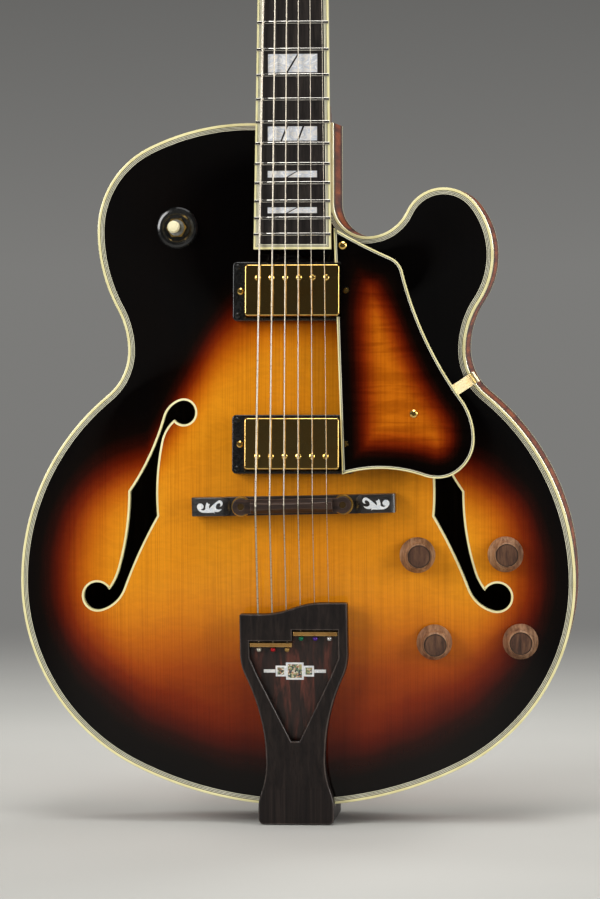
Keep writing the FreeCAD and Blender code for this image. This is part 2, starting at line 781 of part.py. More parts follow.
saddle_places = along_strings(-string_spread / 2, string_spread / 2)
nut_places = along_strings(-nut_spread / 2, nut_spread / 2)
string_paths = []
for index, radius in enumerate(string_radii):
    x = saddle_places[index]
    sagged = x * x / (2 * board_radius)
    saddle_z = bridge_z - x * math.sin(math.radians(saddle_turn))
    saddle_y = string_y + sagged
    ball_z = bass_ball_z if index < string_count / 2 else treble_ball_z
    nut_x = nut_places[index]
    nut_y = nut_x * nut_x / (2 * board_radius) - nut_string_rise - radius
    at_nut = board_frame.multVec(V(nut_x, nut_y, scale_length + nut_length / 2))
    hand = -1 if index < string_count / 2 else 1
    row = tuner_rows[index] if hand < 0 else tuner_rows[string_count - 1 - index]
    side = hand * (tuner_inset - post_radius - free_gap - radius)
    at_post = head_frame.multVec(V(side, -wind_depth, row))
    at_ball = V(x, tail_face_y(ball_z, ball_depth), ball_z)
    string_paths.append([at_ball, V(x, saddle_y, saddle_z), at_nut, at_post])


def rod_between(start, end, radius):
    return Part.makeCylinder(radius, (end - start).Length, start, end - start)


def bent_wire(points, bend):
    edges = []
    last = points[0]
    for before, corner, after in zip(points, points[1:], points[2:]):
        incoming = (corner - before).normalize()
        outgoing = (after - corner).normalize()
        half_turn = incoming.getAngle(outgoing) / 2
        start = corner - incoming * (bend * math.tan(half_turn))
        end = corner + outgoing * (bend * math.tan(half_turn))
        inward = (outgoing - incoming).normalize()
        middle = corner + inward * (bend / math.cos(half_turn) - bend)
        edges.append(Part.LineSegment(last, start).toShape())
        edges.append(Part.Arc(start, middle, end).toShape())
        last = end
    edges.append(Part.LineSegment(last, points[-1]).toShape())
    return Part.Wire(edges)


def string_solid(index, spread=0.0, with_ball=True):
    path = string_paths[index]
    radius = string_radii[index] + spread
    ring = Part.Wire(Part.makeCircle(radius, path[0], path[1] - path[0]))
    solid = bent_wire(path, string_bend).makePipeShell([ring], True, False)
    if with_ball:
        solid = solid.fuse(Part.makeSphere(ball_radius, path[0]))
    return solid


save("strings", *[string_solid(index) for index in range(string_count)])
string_room = []
for index in range(string_count):
    string_room += string_solid(index, running_gap, False).Solids
nut_low = scale_length + running_gap
nut_high = scale_length + nut_length
nut_blank = box(-nut_width / 2, nut_width / 2, -nut_rise, board_thickness - running_gap, nut_low, nut_high)
nut = placed(nut_blank, board_frame).cut(string_room)
save("nut", nut)

# Tailpiece: plan outline against side profile, with a pocket for the panel and the anchor bars
tail_half = 39.5
tail_waist_half = 21.7
tail_foot_half = 27.9
tail_step = 8.5
tail_step_right = 22.0
tail_step_left = -24.0
tail_thickness = 12.0
foot_depth = 64.0
foot_corner = 4.0
pocket_depth = 9.0
panel_thickness = 2.0
tail_low_side = tail_high_side - tail_step
tail_bend_z = 0.2852 * tail_high_side
tail_spread_z = 0.7706 * tail_high_side
corner_centre = (tail_foot_half - foot_corner, foot_corner)
tail_right = [((corner_centre[0], 0.0), (tail_foot_half, foot_corner), corner_centre, foot_corner)]
tail_right += straight((tail_foot_half, foot_corner), (tail_foot_half, foot_drop))
tail_right += arc_pair((tail_foot_half, foot_drop), 90, (tail_waist_half, tail_bend_z), 90, 0.4342)
tail_right += arc_pair((tail_waist_half, tail_bend_z), 90, (tail_half, tail_spread_z), 90, 3.8784)
tail_left = mirrored(tail_right)
step_right = (tail_step_right, tail_high_side)
step_left = (tail_step_left, tail_low_side)
tail_run = tail_right + straight((tail_half, tail_spread_z), (tail_half, tail_high_side))
tail_run += straight((tail_half, tail_high_side), step_right)
tail_run += arc_pair(step_right, 180, step_left, 180, 0.9889)
tail_run += straight(step_left, (-tail_half, tail_low_side))
tail_run += straight((-tail_half, tail_low_side), (-tail_half, tail_spread_z)) + tail_left
tail_run += straight(tail_left[-1][1], tail_right[0][0])
tail_top = tail_high_side + 2
tail_seat = -half_depth - 0.4
profile = [
    V(-wide, tail_y, -1),
    V(-wide, tail_y, tail_ridge),
    V(-wide, tail_face_y(tail_top, 0), tail_top),
    V(-wide, tail_face_y(tail_top, tail_thickness), tail_top),
    V(-wide, tail_seat, tail_ridge),
    V(-wide, tail_seat, foot_drop + 4),
    V(-wide, tail_y + foot_depth, foot_drop + 4),
    V(-wide, tail_y + foot_depth, -1),
]
tail_blank = prism(outline_edges(tail_run), -wide, wide).common(polygon_solid(profile, V(2 * wide, 0, 0)))
tail_blank = tail_blank.cut(rim_prism(-free_gap, -half_depth - free_gap, half_depth))
bass_bar_z = bass_ball_z + ball_radius
treble_bar_z = treble_ball_z + ball_radius
bar_height = 3.2
pocket_half = 32.5
pocket_low = 0.3762 * tail_high_side
pocket_bend = 0.6735 * tail_high_side
pocket_side = 0.7524 * tail_high_side
treble_top = treble_bar_z + bar_height + 1.2
bass_top = bass_bar_z + bar_height + 1.2
pocket_flank = [(3.0, pocket_low), (27.0, pocket_bend), (pocket_half, pocket_side)]
pocket_top = [(pocket_half, treble_top), (-1.0, treble_top), (-1.0, bass_top), (-pocket_half, bass_top)]
pocket_plan = pocket_flank + pocket_top + [(-x, z) for x, z in reversed(pocket_flank)]


def pocket_prism(inset):
    wire = Part.makePolygon([V(x, 0, z) for x, z in pocket_plan + [pocket_plan[0]]])
    face = Part.Face(wire)
    if inset > 0:
        face = face.makeOffset2D(-inset, 2)
    face.translate(V(0, -wide, 0))
    return face.extrude(V(0, 2 * wide, 0))


def tail_layer(depth_from, depth_to):
    corners = [(0, depth_from), (tail_top, depth_from), (tail_top, depth_to), (0, depth_to)]
    return polygon_solid([V(-wide, tail_face_y(z, depth), z) for z, depth in corners], V(2 * wide, 0, 0))


pocket = pocket_prism(0).common(tail_layer(-wide, pocket_depth))
string_holes = []
for path, radius in zip(string_paths, string_radii):
    string_holes.append(rod_between(path[0], path[1], radius + 0.4))
tail_head_radius = 3.9
tail_head_room = Part.makeCylinder(tail_head_radius + glue_gap, 3.2)
tailpiece = tail_blank.cut([pocket, tail_screw_hole, tail_head_room] + string_holes)
save("tailpiece", tailpiece)
panel_front = pocket_depth - panel_thickness
panel = pocket_prism(glue_gap).common(tail_layer(panel_front, pocket_depth - glue_gap))
inlay_z = 0.6905 * tail_high_side
inlay_sizes = [(0.0, 6.5, 6.4), (-10.3, 3.8, 4.0), (10.3, 3.8, 4.0), (-18.6, 4.3, 1.2), (18.6, 4.3, 1.2)]
inlay_depth = 0.9
tail_inlays = []
inlay_pockets = []


def inlay_stick(x, half, half_tall):
    return box(x - half, x + half, -wide, 0, inlay_z - half_tall, inlay_z + half_tall)


for x, half, half_tall in inlay_sizes:
    stick = inlay_stick(x, half, half_tall)
    tail_inlays.append(stick.common(tail_layer(panel_front, panel_front + inlay_depth)))
    hollow = inlay_stick(x, half + running_gap, half_tall + running_gap)
    inlay_pockets.append(hollow.common(tail_layer(0, panel_front + inlay_depth + running_gap)))
save("tailpiece_panel", panel.cut(inlay_pockets))
save("tailpiece_inlay", *tail_inlays)
anchor_bars = []
for left, right, low in ((-pocket_half + 0.3, -1.4, bass_bar_z), (-0.4, pocket_half - 0.3, treble_bar_z)):
    anchor = box(left, right, -wide, 0, low + glue_gap, low + bar_height)
    anchor = anchor.common(tail_layer(0.8, panel_front - glue_gap))
    anchor_bars.append(anchor.cut(string_holes))
save("string_anchors", *anchor_bars)


# Tuners: housing behind the head, post with its wheel, button with its worm shaft, bushing in front
wheel_radius = 4.4
worm_radius = 2.0
worm_depth = 17.6
worm_offset = wheel_radius + worm_radius + 0.2
wheel_low = worm_depth - 1.5
wheel_high = worm_depth + 1.5
button_inner = 47.0
button_length = 15.0
button_height = 17.0
button_depth = 8.0
housing_half = 9.0
housing_back = head_thickness + 11.0
housings = []
bushings = []


def along_depth(profile, x, z):
    solid = turned(profile)
    solid.Placement = tilted(V(x, 0, z), -90)
    return solid


tuner_number = 0
for hand in (-1, 1):
    for row in tuner_rows:
        tuner_number += 1
        x = hand * tuner_inset
        inner = post_radius + running_gap
        bushing_profile = [
            (inner, -2.0),
            (6.6, -2.0),
            (7.2, -0.1),
            (bushing_radius, -0.1),
            (bushing_radius, 9),
            (inner, 9),
        ]
        bushings.append(placed(along_depth(bushing_profile, x, row), head_frame))
        post_profile = [
            (0, -post_rise),
            (post_radius - 0.5, -post_rise),
            (post_radius, -post_rise + 0.6),
            (post_radius, -wind_depth - 5),
            (post_radius - 0.5, -wind_depth - 3.5),
            (post_radius - 0.5, -wind_depth + 2.5),
            (post_radius, -wind_depth + 4),
            (post_radius, wheel_low),
            (wheel_radius, wheel_low),
            (wheel_radius, wheel_high),
            (0, wheel_high),
        ]
        post = along_depth(post_profile, x, row)
        eye_start = V(x - 2 * post_radius, -wind_depth - 0.5, row)
        eye = Part.makeCylinder(post_eye_radius, 4 * post_radius, eye_start, V(1, 0, 0))
        save("tuner_post_%d" % tuner_number, placed(post.cut(eye), head_frame))
        case_front = head_thickness + running_gap
        case = box(x - housing_half, x + housing_half, case_front, housing_back, row - 8, row + 12)
        rounded = [e for e in case.Edges if e.CenterOfMass.y > head_thickness + 1]
        case = case.makeFillet(2.0, rounded)
        cavity = Part.makeCylinder(wheel_radius + free_gap, 5, V(x, head_thickness, row), V(0, 1, 0))
        worm_z = row + worm_offset
        worm_in = x - hand * (housing_half - 2)
        outward = V(hand, 0, 0)
        worm_seat = V(worm_in, worm_depth, worm_z)
        worm_bore = Part.makeCylinder(worm_radius + running_gap, head_length, worm_seat, outward)
        housings.append(placed(case.cut([cavity, worm_bore]), head_frame))
        shaft_length = button_inner + 4 - abs(worm_in)
        worm = Part.makeCylinder(worm_radius, shaft_length, worm_seat + outward * 0.2, outward)
        collar_seat = V(hand * (button_inner - 2.2), worm_depth, worm_z)
        collar = Part.makeCylinder(3.2, 2.5, collar_seat, outward)
        low = min(hand * button_inner, hand * (button_inner + button_length))
        grip_corner = V(low, worm_depth - button_depth / 2, worm_z - button_height / 2)
        grip = Part.makeBox(button_length, button_depth, button_height, grip_corner)
        grip = grip.makeFillet(0.45 * button_depth, grip.Edges)
        save("tuner_button_%d" % tuner_number, placed(worm.fuse([collar, grip]), head_frame))
save("tuner_housings", *housings)

# Bridge: base fitted to the arch, two posts, thumbwheels and a saddle that rides on them
bridge_half = 74.6
bridge_half_width = 6.9
post_place = 37.2
stud_radius = 2.4
wheel_disc_radius = 7.4
wheel_thickness = 2.6
saddle_half_width = 5.2
saddle_boss_radius = 6.2
saddle_top = string_y + 0.15
saddle_bottom = string_y + 10.6
wheel_front = saddle_bottom + running_gap
wheel_back = wheel_front + wheel_thickness
deck_y = wheel_back + 3.2
wing_y = deck_y - 3.0
wing_end_y = deck_y + 3.0
bridge_frame = FreeCAD.Placement(V(0, 0, bridge_z), FreeCAD.Rotation(V(0, 1, 0), saddle_turn))
under_surface = arched_slab(top_arch, -1, -glue_gap, 2 * half_depth)
wing_inner = post_place + 8.0
wing_round = 4.6
wing_bend = post_place + 13.4
wing_bevel = bridge_half - 3.0
wing_lip = 0.8
base_points = [
    (-bridge_half, 0),
    (-bridge_half, wing_end_y),
    (-wing_bevel, wing_end_y - 1.5),
    (-wing_bend, wing_y),
    (-wing_inner, deck_y - wing_lip),
    (-wing_inner, deck_y),
]
base_points = base_points + [(-x, y) for x, y in reversed(base_points)]
base = polygon_solid([V(x, y, -bridge_half_width) for x, y in base_points], V(0, 0, 2 * bridge_half_width))
end_low = V(wing_inner + wing_round, 0, -bridge_half_width)
end_high = V(wing_inner + wing_round, 0, bridge_half_width)
wing_end = [
    Part.Arc(end_low, V(wing_inner, 0, 0), end_high).toShape(),
    Part.LineSegment(end_high, end_low).toShape(),
]
wing_corner = box(wing_inner, end_low.x, -wide, deck_y, -wide, wide).cut(prism(wing_end, -wide, 0))
base = base.cut(both_hands(wing_corner))
relief_half = 22.0
relief = box(-relief_half, relief_half, top_y(0, bridge_z) - 3.5, 0, -wide, wide)
stud_length = 19.0
stud_start = saddle_bottom - 4.6
stud_room = stud_start + stud_length + glue_gap - deck_y
stud_holes = []
studs = []
base_holes = []
for x in (-post_place, post_place):
    stud_holes.append(Part.makeCylinder(stud_radius + running_gap, 60, V(x, string_y - 5, 0), V(0, 1, 0)))
    studs.append(Part.makeCylinder(stud_radius, stud_length, V(x, stud_start, 0), V(0, 1, 0)))
    base_holes.append(Part.makeCylinder(stud_radius + running_gap, stud_room, V(x, deck_y, 0), V(0, 1, 0)))
scroll_depth = 0.8
scrolls = []
scroll_rooms = []
wing_slope = (wing_end_y - 1.5 - wing_y) / (wing_bevel - wing_bend)


# One scroll is a ring of arcs: each row holds a point on the arc and the arc's end
scroll_start = (51.8, -1.4)
scroll_arcs = [
    ((54.4, -3.6), (57.5, -3.3)),
    ((57.4, -4.2), (57.1, -5.1)),
    ((57.8, -4.4), (58.8, -4.1)),
    ((62.7, -4.3), (65.9, -4.2)),
    ((69.1, -2.8), (70.5, 0.1)),
    ((68.0, 2.6), (65.5, 0.3)),
    ((66.2, -1.2), (67.7, -1.6)),
    ((65.9, -2.5), (64.1, -1.2)),
    ((63.9, 1.1), (62.8, 3.5)),
    ((62.0, 2.4), (60.5, 2.1)),
    ((61.4, 0.4), (61.3, -1.4)),
    ((58.4, 1.5), (55.0, 4.1)),
    ((51.9, 4.2), (51.2, 1.9)),
    ((52.1, 0.6), (53.5, 0.3)),
    ((52.7, 1.7), (53.6, 2.8)),
    ((55.8, 1.4), (56.2, -1.1)),
    ((54.6, -1.9), scroll_start),
]


def scroll_face(grow):
    edges = []
    last = scroll_start
    for middle, end in scroll_arcs:
        points = [V(x, 0, z) for x, z in (last, middle, end)]
        edges.append(Part.Arc(*points).toShape())
        last = end
    face = Part.Face(Part.Wire(edges))
    if grow > 0:
        face = face.makeOffset2D(grow)
    return face


def wing_layer(depth_from, depth_to):
    corners = [(wing_bend, depth_from), (wing_bevel, depth_from)]
    corners += [(wing_bevel, depth_to), (wing_bend, depth_to)]
    points = [V(x, wing_y + wing_slope * (x - wing_bend) + depth, -wide) for x, depth in corners]
    return polygon_solid(points, V(0, 0, 2 * wide))


for grow, gather, depth_from in ((0.0, scrolls, 0.0), (running_gap, scroll_rooms, -5.0)):
    face = scroll_face(grow)
    face.translate(V(0, -wide, 0))
    column = face.extrude(V(0, 2 * wide, 0)).common(wing_layer(depth_from, scroll_depth + grow))
    gather += both_hands(column)
base = base.cut(scroll_rooms + base_holes)
base = placed(base, bridge_frame).cut([under_surface, placed(relief, bridge_frame)])
save("bridge_base", base)
save("bridge_inlays", *[placed(scroll, bridge_frame) for scroll in scrolls])
save("bridge_posts", *[placed(stud, bridge_frame) for stud in studs])
for name, x in (("bass_thumbwheel", -post_place), ("treble_thumbwheel", post_place)):
    inner = stud_radius + running_gap
    rim_radius = wheel_disc_radius
    disc_profile = [(inner, 0), (rim_radius - 0.5, 0), (rim_radius, 0.5), (rim_radius, wheel_thickness - 0.5)]
    disc_profile += [(rim_radius - 0.5, wheel_thickness), (inner, wheel_thickness)]
    disc = along_depth(disc_profile, x, 0)
    disc.translate(V(0, wheel_front, 0))
    save(name, placed(disc, bridge_frame))
ridge_half = 1.8
waist_y = saddle_bottom - 4.8
bar_points = [
    V(-string_spread / 2 - 4, saddle_bottom, -saddle_half_width),
    V(-string_spread / 2 - 4, saddle_bottom, saddle_half_width),
    V(-string_spread / 2 - 4, waist_y, saddle_half_width),
    V(-string_spread / 2 - 4, saddle_top, ridge_half),
    V(-string_spread / 2 - 4, saddle_top, -ridge_half),
    V(-string_spread / 2 - 4, waist_y, -saddle_half_width),
]
saddle = polygon_solid(bar_points, V(string_spread + 8, 0, 0))
saddle_camber = Part.makeCylinder(board_radius, 4 * wide, V(0, saddle_top + board_radius, -2 * wide))
saddle = saddle.common(saddle_camber)
for x in (-post_place, post_place):
    boss = Part.makeCylinder(saddle_boss_radius, 5.2, V(x, saddle_bottom - 5.2, 0), V(0, 1, 0))
    saddle = saddle.fuse(boss)
arm = box(-post_place, post_place, saddle_bottom - 5.2, saddle_bottom, -saddle_half_width, saddle_half_width)
saddle = saddle.fuse(arm).removeSplitter().cut(stud_holes)
saddle = placed(saddle, bridge_frame).cut(string_room)
slot_reach = 12.0
slot_room = 0.15


def string_slot(path, radius):
    crest = path[1]
    tail_way = (path[0] - crest).normalize() * slot_reach
    neck_way = (path[2] - crest).normalize() * slot_reach
    low = [crest + tail_way, crest, crest + neck_way]
    high = [point - V(0, slot_reach, 0) for point in reversed(low)]
    half = radius + slot_room
    points = [V(crest.x - half, point.y, point.z) for point in low + high]
    return polygon_solid(points, V(2 * half, 0, 0))


saddle = saddle.cut([string_slot(path, radius) for path, radius in zip(string_paths, string_radii)])
save("bridge_saddle", saddle)


# Pickups in tall rings, tilted with the strings
cover_gap = 3.0
pickup_height = 28.0
cover_corner = 2.5
ring_half_length = 44.5
ring_half_width = 21.5
ring_height = 10.5
ring_room = 0.4
pole_radius = 2.4
pole_pitch = 10.0
pole_offset = 9.1
pole_rise = 0.6
pole_depth = 5.0
height_screw_place = 38.8
ring_screw_x = 41.0
ring_screw_z = 17.8
screw_radius = 1.3


def button_head(x, y, z, radius, rise, length, shank):
    head = [(0, -rise), (0.6 * radius, -rise), (radius, -0.35 * rise), (radius, 0)]
    solid = along_depth(head + [(shank, 0), (shank, length), (0, length)], 0, 0)
    slot = box(-radius, radius, -rise - 1, -0.55 * rise, -0.14 * radius, 0.14 * radius)
    solid = solid.cut(slot)
    solid.Placement = FreeCAD.Placement(V(x, y, z), FreeCAD.Rotation())
    return solid


rings = []
covers = []
poles = []
screws = []
half_long = pickup_length / 2
half_wide = pickup_width / 2
for z, pole_side in ((neck_pickup_z, 1), (bridge_pickup_z, -1)):
    frame = string_frame(z, 0)
    cover = box(-half_long, half_long, cover_gap, cover_gap + pickup_height, -half_wide, half_wide)
    upright = [e for e in cover.Edges if e.BoundBox.YLength > pickup_height / 2]
    cover = cover.makeFillet(cover_corner, upright)
    rim_edges = [e for e in cover.Edges if e.CenterOfMass.y < cover_gap + 0.1]
    cover = cover.makeFillet(1.2, rim_edges)
    pole_holes = []
    for index in range(string_count):
        x = (index - (string_count - 1) / 2) * pole_pitch
        seat = V(x, cover_gap - 1, pole_side * pole_offset)
        pole_holes.append(Part.makeCylinder(pole_radius + running_gap, pole_depth + 1.1, seat, V(0, 1, 0)))
        pole_top = seat + V(0, 1 - pole_rise, 0)
        pole = Part.makeCylinder(pole_radius, pole_depth + pole_rise, pole_top, V(0, 1, 0))
        slot_y = cover_gap - pole_rise
        slot_z = pole_side * pole_offset
        pole = pole.cut(box(x - 0.4, x + 0.4, slot_y - 1, slot_y + 0.5, slot_z - 3, slot_z + 3))
        poles.append(placed(pole, frame))
    covers.append(placed(cover.cut(pole_holes), frame))
    ring_top = top_y(0, z) - ring_height - string_plane_y(z)
    ring_back = ring_top + 2 * top_arch
    ring = box(-ring_half_length, ring_half_length, ring_top, ring_back, -ring_half_width, ring_half_width)
    upright = [e for e in ring.Edges if e.BoundBox.YLength > top_arch]
    ring = ring.makeFillet(3.0, upright)
    rim_edges = [e for e in ring.Edges if e.CenterOfMass.y < ring_top + 0.1]
    ring = ring.makeFillet(0.8, rim_edges)
    long_room = half_long + ring_room
    wide_room = half_wide + ring_room
    window = box(-long_room, long_room, -wide, wide, -wide_room, wide_room)
    screw_places = [(side * height_screw_place, 0) for side in (-1, 1)]
    screw_places += [(a * ring_screw_x, b * ring_screw_z) for a in (-1, 1) for b in (-1, 1)]
    ring_holes = []
    for x, along in screw_places:
        length = 7.0
        hole_seat = V(x, ring_top - 1, along)
        ring_holes.append(Part.makeCylinder(screw_radius + running_gap, length + 1.1, hole_seat, V(0, 1, 0)))
        head_radius = 2.4 if along == 0 else 2.0
        screw = button_head(x, ring_top - running_gap, along, head_radius, 1.1, length, screw_radius)
        screws.append(placed(screw, frame))
    ring = placed(ring.cut([window] + ring_holes), frame)
    rings.append(ring.cut(under_surface))
save("pickup_rings", *rings)
save("pickup_covers", *covers)
screws += poles

# Finger rest: bound plate that floats under the strings, with a bracket to the treble side
rest_drop = 7.5
rest_thickness = 3.2
rest_binding_width = 2.4
rest_top_corner = (29.9, board_start + 15.4)
rest_low_corner = (36.6, 22.9)
rest_belly = (0.853 * half_waist, 20.0)
rest_side = (1.068 * half_waist, 48.6)
rest_shoulder = (0.647 * half_waist, board_start - 16.8)
rest_frame = string_frame(bridge_z, rest_drop)
rest_run = arc_pair(rest_low_corner, 17, rest_belly, 0, 5.8449)
rest_run += arc_pair(rest_belly, 0, rest_side, 90, 0.5374)
rest_run += arc_pair(rest_side, 90, rest_shoulder, 104, 0.3122)
rest_run += arc_pair(rest_shoulder, 104, rest_top_corner, 149, 0.3363)
rest_run += straight(rest_top_corner, rest_low_corner)
rest_cuts = []
cut_half = half_wide + 1.0
for z in (neck_pickup_z, bridge_pickup_z):
    middle = (z - bridge_z) / math.cos(math.radians(string_tilt))
    rest_cuts.append(box(0, half_long + 0.8, -20, 20, middle - cut_half, middle + cut_half))
    rest_cuts.append(Part.makeCylinder(2.7, 40, V(height_screw_place, -20, middle), V(0, 1, 0)))
rest_screw_places = [(36.6, board_start + 2.6), (0.713 * half_waist, 67.0)]
rest_screw_holes = []
for x, along in rest_screw_places:
    rest_screw_holes.append(Part.makeCylinder(screw_radius + running_gap, 20, V(x, -10, along), V(0, 1, 0)))
    screw = button_head(x, -running_gap, along, 2.8, 1.2, rest_thickness + 2, screw_radius)
    screws.append(placed(screw, rest_frame))
rest_core = prism(outline_edges(rest_run, rest_binding_width + running_gap), 0, rest_thickness)
rest_core = rest_core.cut(rest_cuts + rest_screw_holes)
rest_inner = prism(outline_edges(rest_run, rest_binding_width), 0, rest_thickness)
rest_ring = prism(outline_edges(rest_run), 0, rest_thickness).cut([rest_inner] + rest_cuts)
save("finger_rest", placed(rest_core, rest_frame))
save("finger_rest_binding", *placed(rest_ring, rest_frame).Solids)
rest_edge = (0.928 * half_waist, bridge_z + 81.7)
bracket_turn = 34.0
bracket_width = 8.5
bracket_sheet = 1.6
bracket_drop = 20.0
bracket_lap = 12.0
ex = math.cos(math.radians(bracket_turn))
ez = math.sin(math.radians(bracket_turn))
rim_reach = 0.0
while rest_edge[0] + rim_reach * ex < half_width(rest_edge[1] + rim_reach * ez):
    rim_reach += 0.1
lap_top = rest_edge[1] + bracket_width / 2
rest_under = string_plane_y(lap_top) + rest_drop + rest_thickness + free_gap
clear_y = -half_depth - 1.2
bracket_line = [
    (-bracket_lap, rest_under),
    (1.0, rest_under),
    (rim_reach + 0.6, clear_y),
    (rim_reach + 2.4, clear_y),
    (rim_reach + 2.4, clear_y + bracket_drop),
]
bracket_back = [
    (rim_reach + 2.4 - bracket_sheet, clear_y + bracket_drop),
    (rim_reach + 2.4 - bracket_sheet, clear_y + 0.8),
    (rim_reach + 0.2, clear_y + 0.8),
    (0.2, rest_under + bracket_sheet),
    (-bracket_lap, rest_under + bracket_sheet),
]
sx = rest_edge[0] + 0.5 * bracket_width * ez
sz = rest_edge[1] - 0.5 * bracket_width * ex
bracket_points = [V(sx + u * ex, y, sz + u * ez) for u, y in bracket_line + bracket_back]
bracket = polygon_solid(bracket_points, V(-bracket_width * ez, 0, bracket_width * ex))
bracket = bracket.cut(rim_prism(-glue_gap, -half_depth - glue_gap, half_depth))
save("finger_rest_bracket", bracket)

# Selector switch in the bass upper bout
washer_radius = 15.2
washer_height = 3.4
switch_bush_radius = 5.9
switch_bore_radius = 3.7
switch_bush_rise = 6.2
switch_pivot = -6.0
lever_radius = 1.5
tip_radius = 4.6
tip_low = 9.5
tip_high = 21.0
switch_frame = top_frame(switch_place[0], switch_place[1])
inner = switch_bush_radius + running_gap
washer_profile = [
    (inner, 0.15),
    (washer_radius, 0.15),
    (washer_radius, 1.4),
    (washer_radius - 1.0, 2.8),
    (washer_radius - 2.6, washer_height),
    (washer_radius - 4.2, washer_height - 0.3),
    (washer_radius - 5.6, washer_height - 1.0),
    (inner, washer_height - 1.2),
]
washer = placed(turned(washer_profile), switch_frame).cut(under_surface)
save("switch_washer", washer)
switch_case = box(-10, 10, -6.5, 6.5, switch_pivot - 24, switch_pivot - 3.5)
flange = Part.makeCylinder(9.0, 1.2, V(0, 0, -plate_thickness - 1.6))
bush_length = switch_bush_rise - switch_pivot + 3.5
bush = Part.makeCylinder(switch_bush_radius, bush_length, V(0, 0, switch_pivot - 3.5))
bore = Part.makeCylinder(switch_bore_radius, bush_length, V(0, 0, switch_pivot - 3.0))
switch_body = switch_case.fuse([flange, bush]).removeSplitter().cut(bore)
save("switch_body", placed(switch_body, switch_frame))
lever = Part.makeCylinder(lever_radius, tip_low + 3 - switch_pivot, V(0, 0, switch_pivot))
lever = lever.fuse(Part.makeSphere(2.6, V(0, 0, switch_pivot)))
tip_profile = [
    (0, tip_low),
    (2.3, tip_low),
    (3.2, tip_low + 1.0),
    (3.9, tip_low + 4.0),
    (tip_radius, tip_high - 3.6),
    (tip_radius - 0.2, tip_high - 1.8),
    (tip_radius - 1.3, tip_high - 0.5),
    (0, tip_high),
]
save("switch_lever", placed(lever.fuse(turned(tip_profile)).removeSplitter(), switch_frame))


def ring_nut(bore_radius, across, low, high):
    bore = Part.makeCylinder(bore_radius, high - low, V(0, 0, low))
    return hexagon(across, low, high).cut(bore)


# Volume and tone controls: pot under the top, nut above, knob and shaft turning together
pot_radius = 12.0
pot_height = 10.0
pot_bush_radius = 4.6
pot_bush_rise = 5.0
shaft_radius = 3.0
shaft_rise = 13.0
knob_lift = 1.3
knob_radius = 13.0
knob_height = 17.5
knob_top_radius = 9.2
disc_radius = 7.9
nuts = [placed(ring_nut(switch_bush_radius + running_gap, 7.6, washer_height - 1.1, 5.2), switch_frame)]
pots = []
pot_top = -plate_thickness - 0.6
for number, (x, z) in enumerate(knob_places):
    frame = top_frame(x, z)
    can = Part.makeCylinder(pot_radius, pot_height, V(0, 0, pot_top - pot_height))
    can = can.fuse(Part.makeCylinder(pot_bush_radius, pot_bush_rise - pot_top + 1, V(0, 0, pot_top - 1)))
    can = can.removeSplitter().cut(Part.makeCylinder(shaft_radius + running_gap, 60, V(0, 0, pot_top - 5)))
    pots.append(placed(can, frame))
    nuts.append(placed(ring_nut(pot_bush_radius + running_gap, 7.0, 0.25, 2.8), frame))
    knob_profile = [
        (shaft_radius + running_gap, 6.4),
        (9.6, 6.4),
        (9.6, knob_lift),
        (knob_radius - 0.6, knob_lift),
        (knob_radius, knob_lift + 0.8),
        (knob_radius, knob_lift + 3.4),
        (knob_radius - 0.9, knob_lift + 5.4),
        (knob_radius - 2.9, knob_lift + 10.0),
        (knob_top_radius + 0.2, knob_height - 1.6),
        (knob_top_radius - 0.7, knob_height - 0.3),
        (disc_radius + 0.35, knob_height - 0.3),
        (disc_radius + 0.1, knob_height - 0.8),
        (disc_radius - 0.2, knob_height - 0.1),
        (disc_radius - 1.0, knob_height),
        (0, knob_height),
        (0, shaft_rise + 0.2),
        (shaft_radius + running_gap, shaft_rise + 0.2),
    ]
    knob = turned(knob_profile)
    stem = Part.makeCylinder(shaft_radius, shaft_rise - pot_top + 4.5, V(0, 0, pot_top - 4.5))
    save("knob_%d" % (number + 1), placed(knob, frame), placed(stem, frame))
save("pot_bodies", *pots)

# Output jack through the tail block: a threaded barrel with a nut inside and contact leaves at its end
jack_rise = 12.0
jack_depth = 36.0
jack_nut_gap = 0.2
jack_nut_high = free_gap - tail_block_length - jack_nut_gap
jack_nut_low = jack_nut_high - 2.6
barrel_low = jack_nut_low - 2.0
leaf_low = jack_rise - jack_depth - 20.0
jack = Part.makeCylinder(jack_thread_radius, jack_rise - barrel_low, V(0, 0, barrel_low))
leaves = [box(a, a + 0.8, -2, 2, leaf_low, barrel_low + 0.5) for a in (3.6, -4.4)]
jack = jack.fuse(leaves).removeSplitter()
jack = jack.cut(Part.makeCylinder(jack_bore_radius, 2 * jack_depth, V(0, 0, jack_rise + 1 - 2 * jack_depth)))
save("output_jack", placed(jack, jack_frame))
nuts.append(placed(ring_nut(jack_thread_radius + running_gap, 7.4, jack_nut_low, jack_nut_high), jack_frame))
save("panel_nuts", *(nuts + bushings))


# Strap buttons: one screwed on the jack's barrel at the tail, one held by a screw in the heel
def strap_button(bore_radius, neck_radius):
    profile = [
        (bore_radius, 0.05),
        (neck_radius + 2.2, 0.05),
        (neck_radius + 2.4, 1.2),
        (neck_radius + 0.4, 3.6),
        (neck_radius, 5.8),
        (neck_radius + 0.6, 8.0),
        (neck_radius + 2.6, 10.2),
        (neck_radius + 2.8, 11.2),
        (neck_radius + 2.0, 12.2),
        (bore_radius, 12.2),
    ]
    return turned(profile)


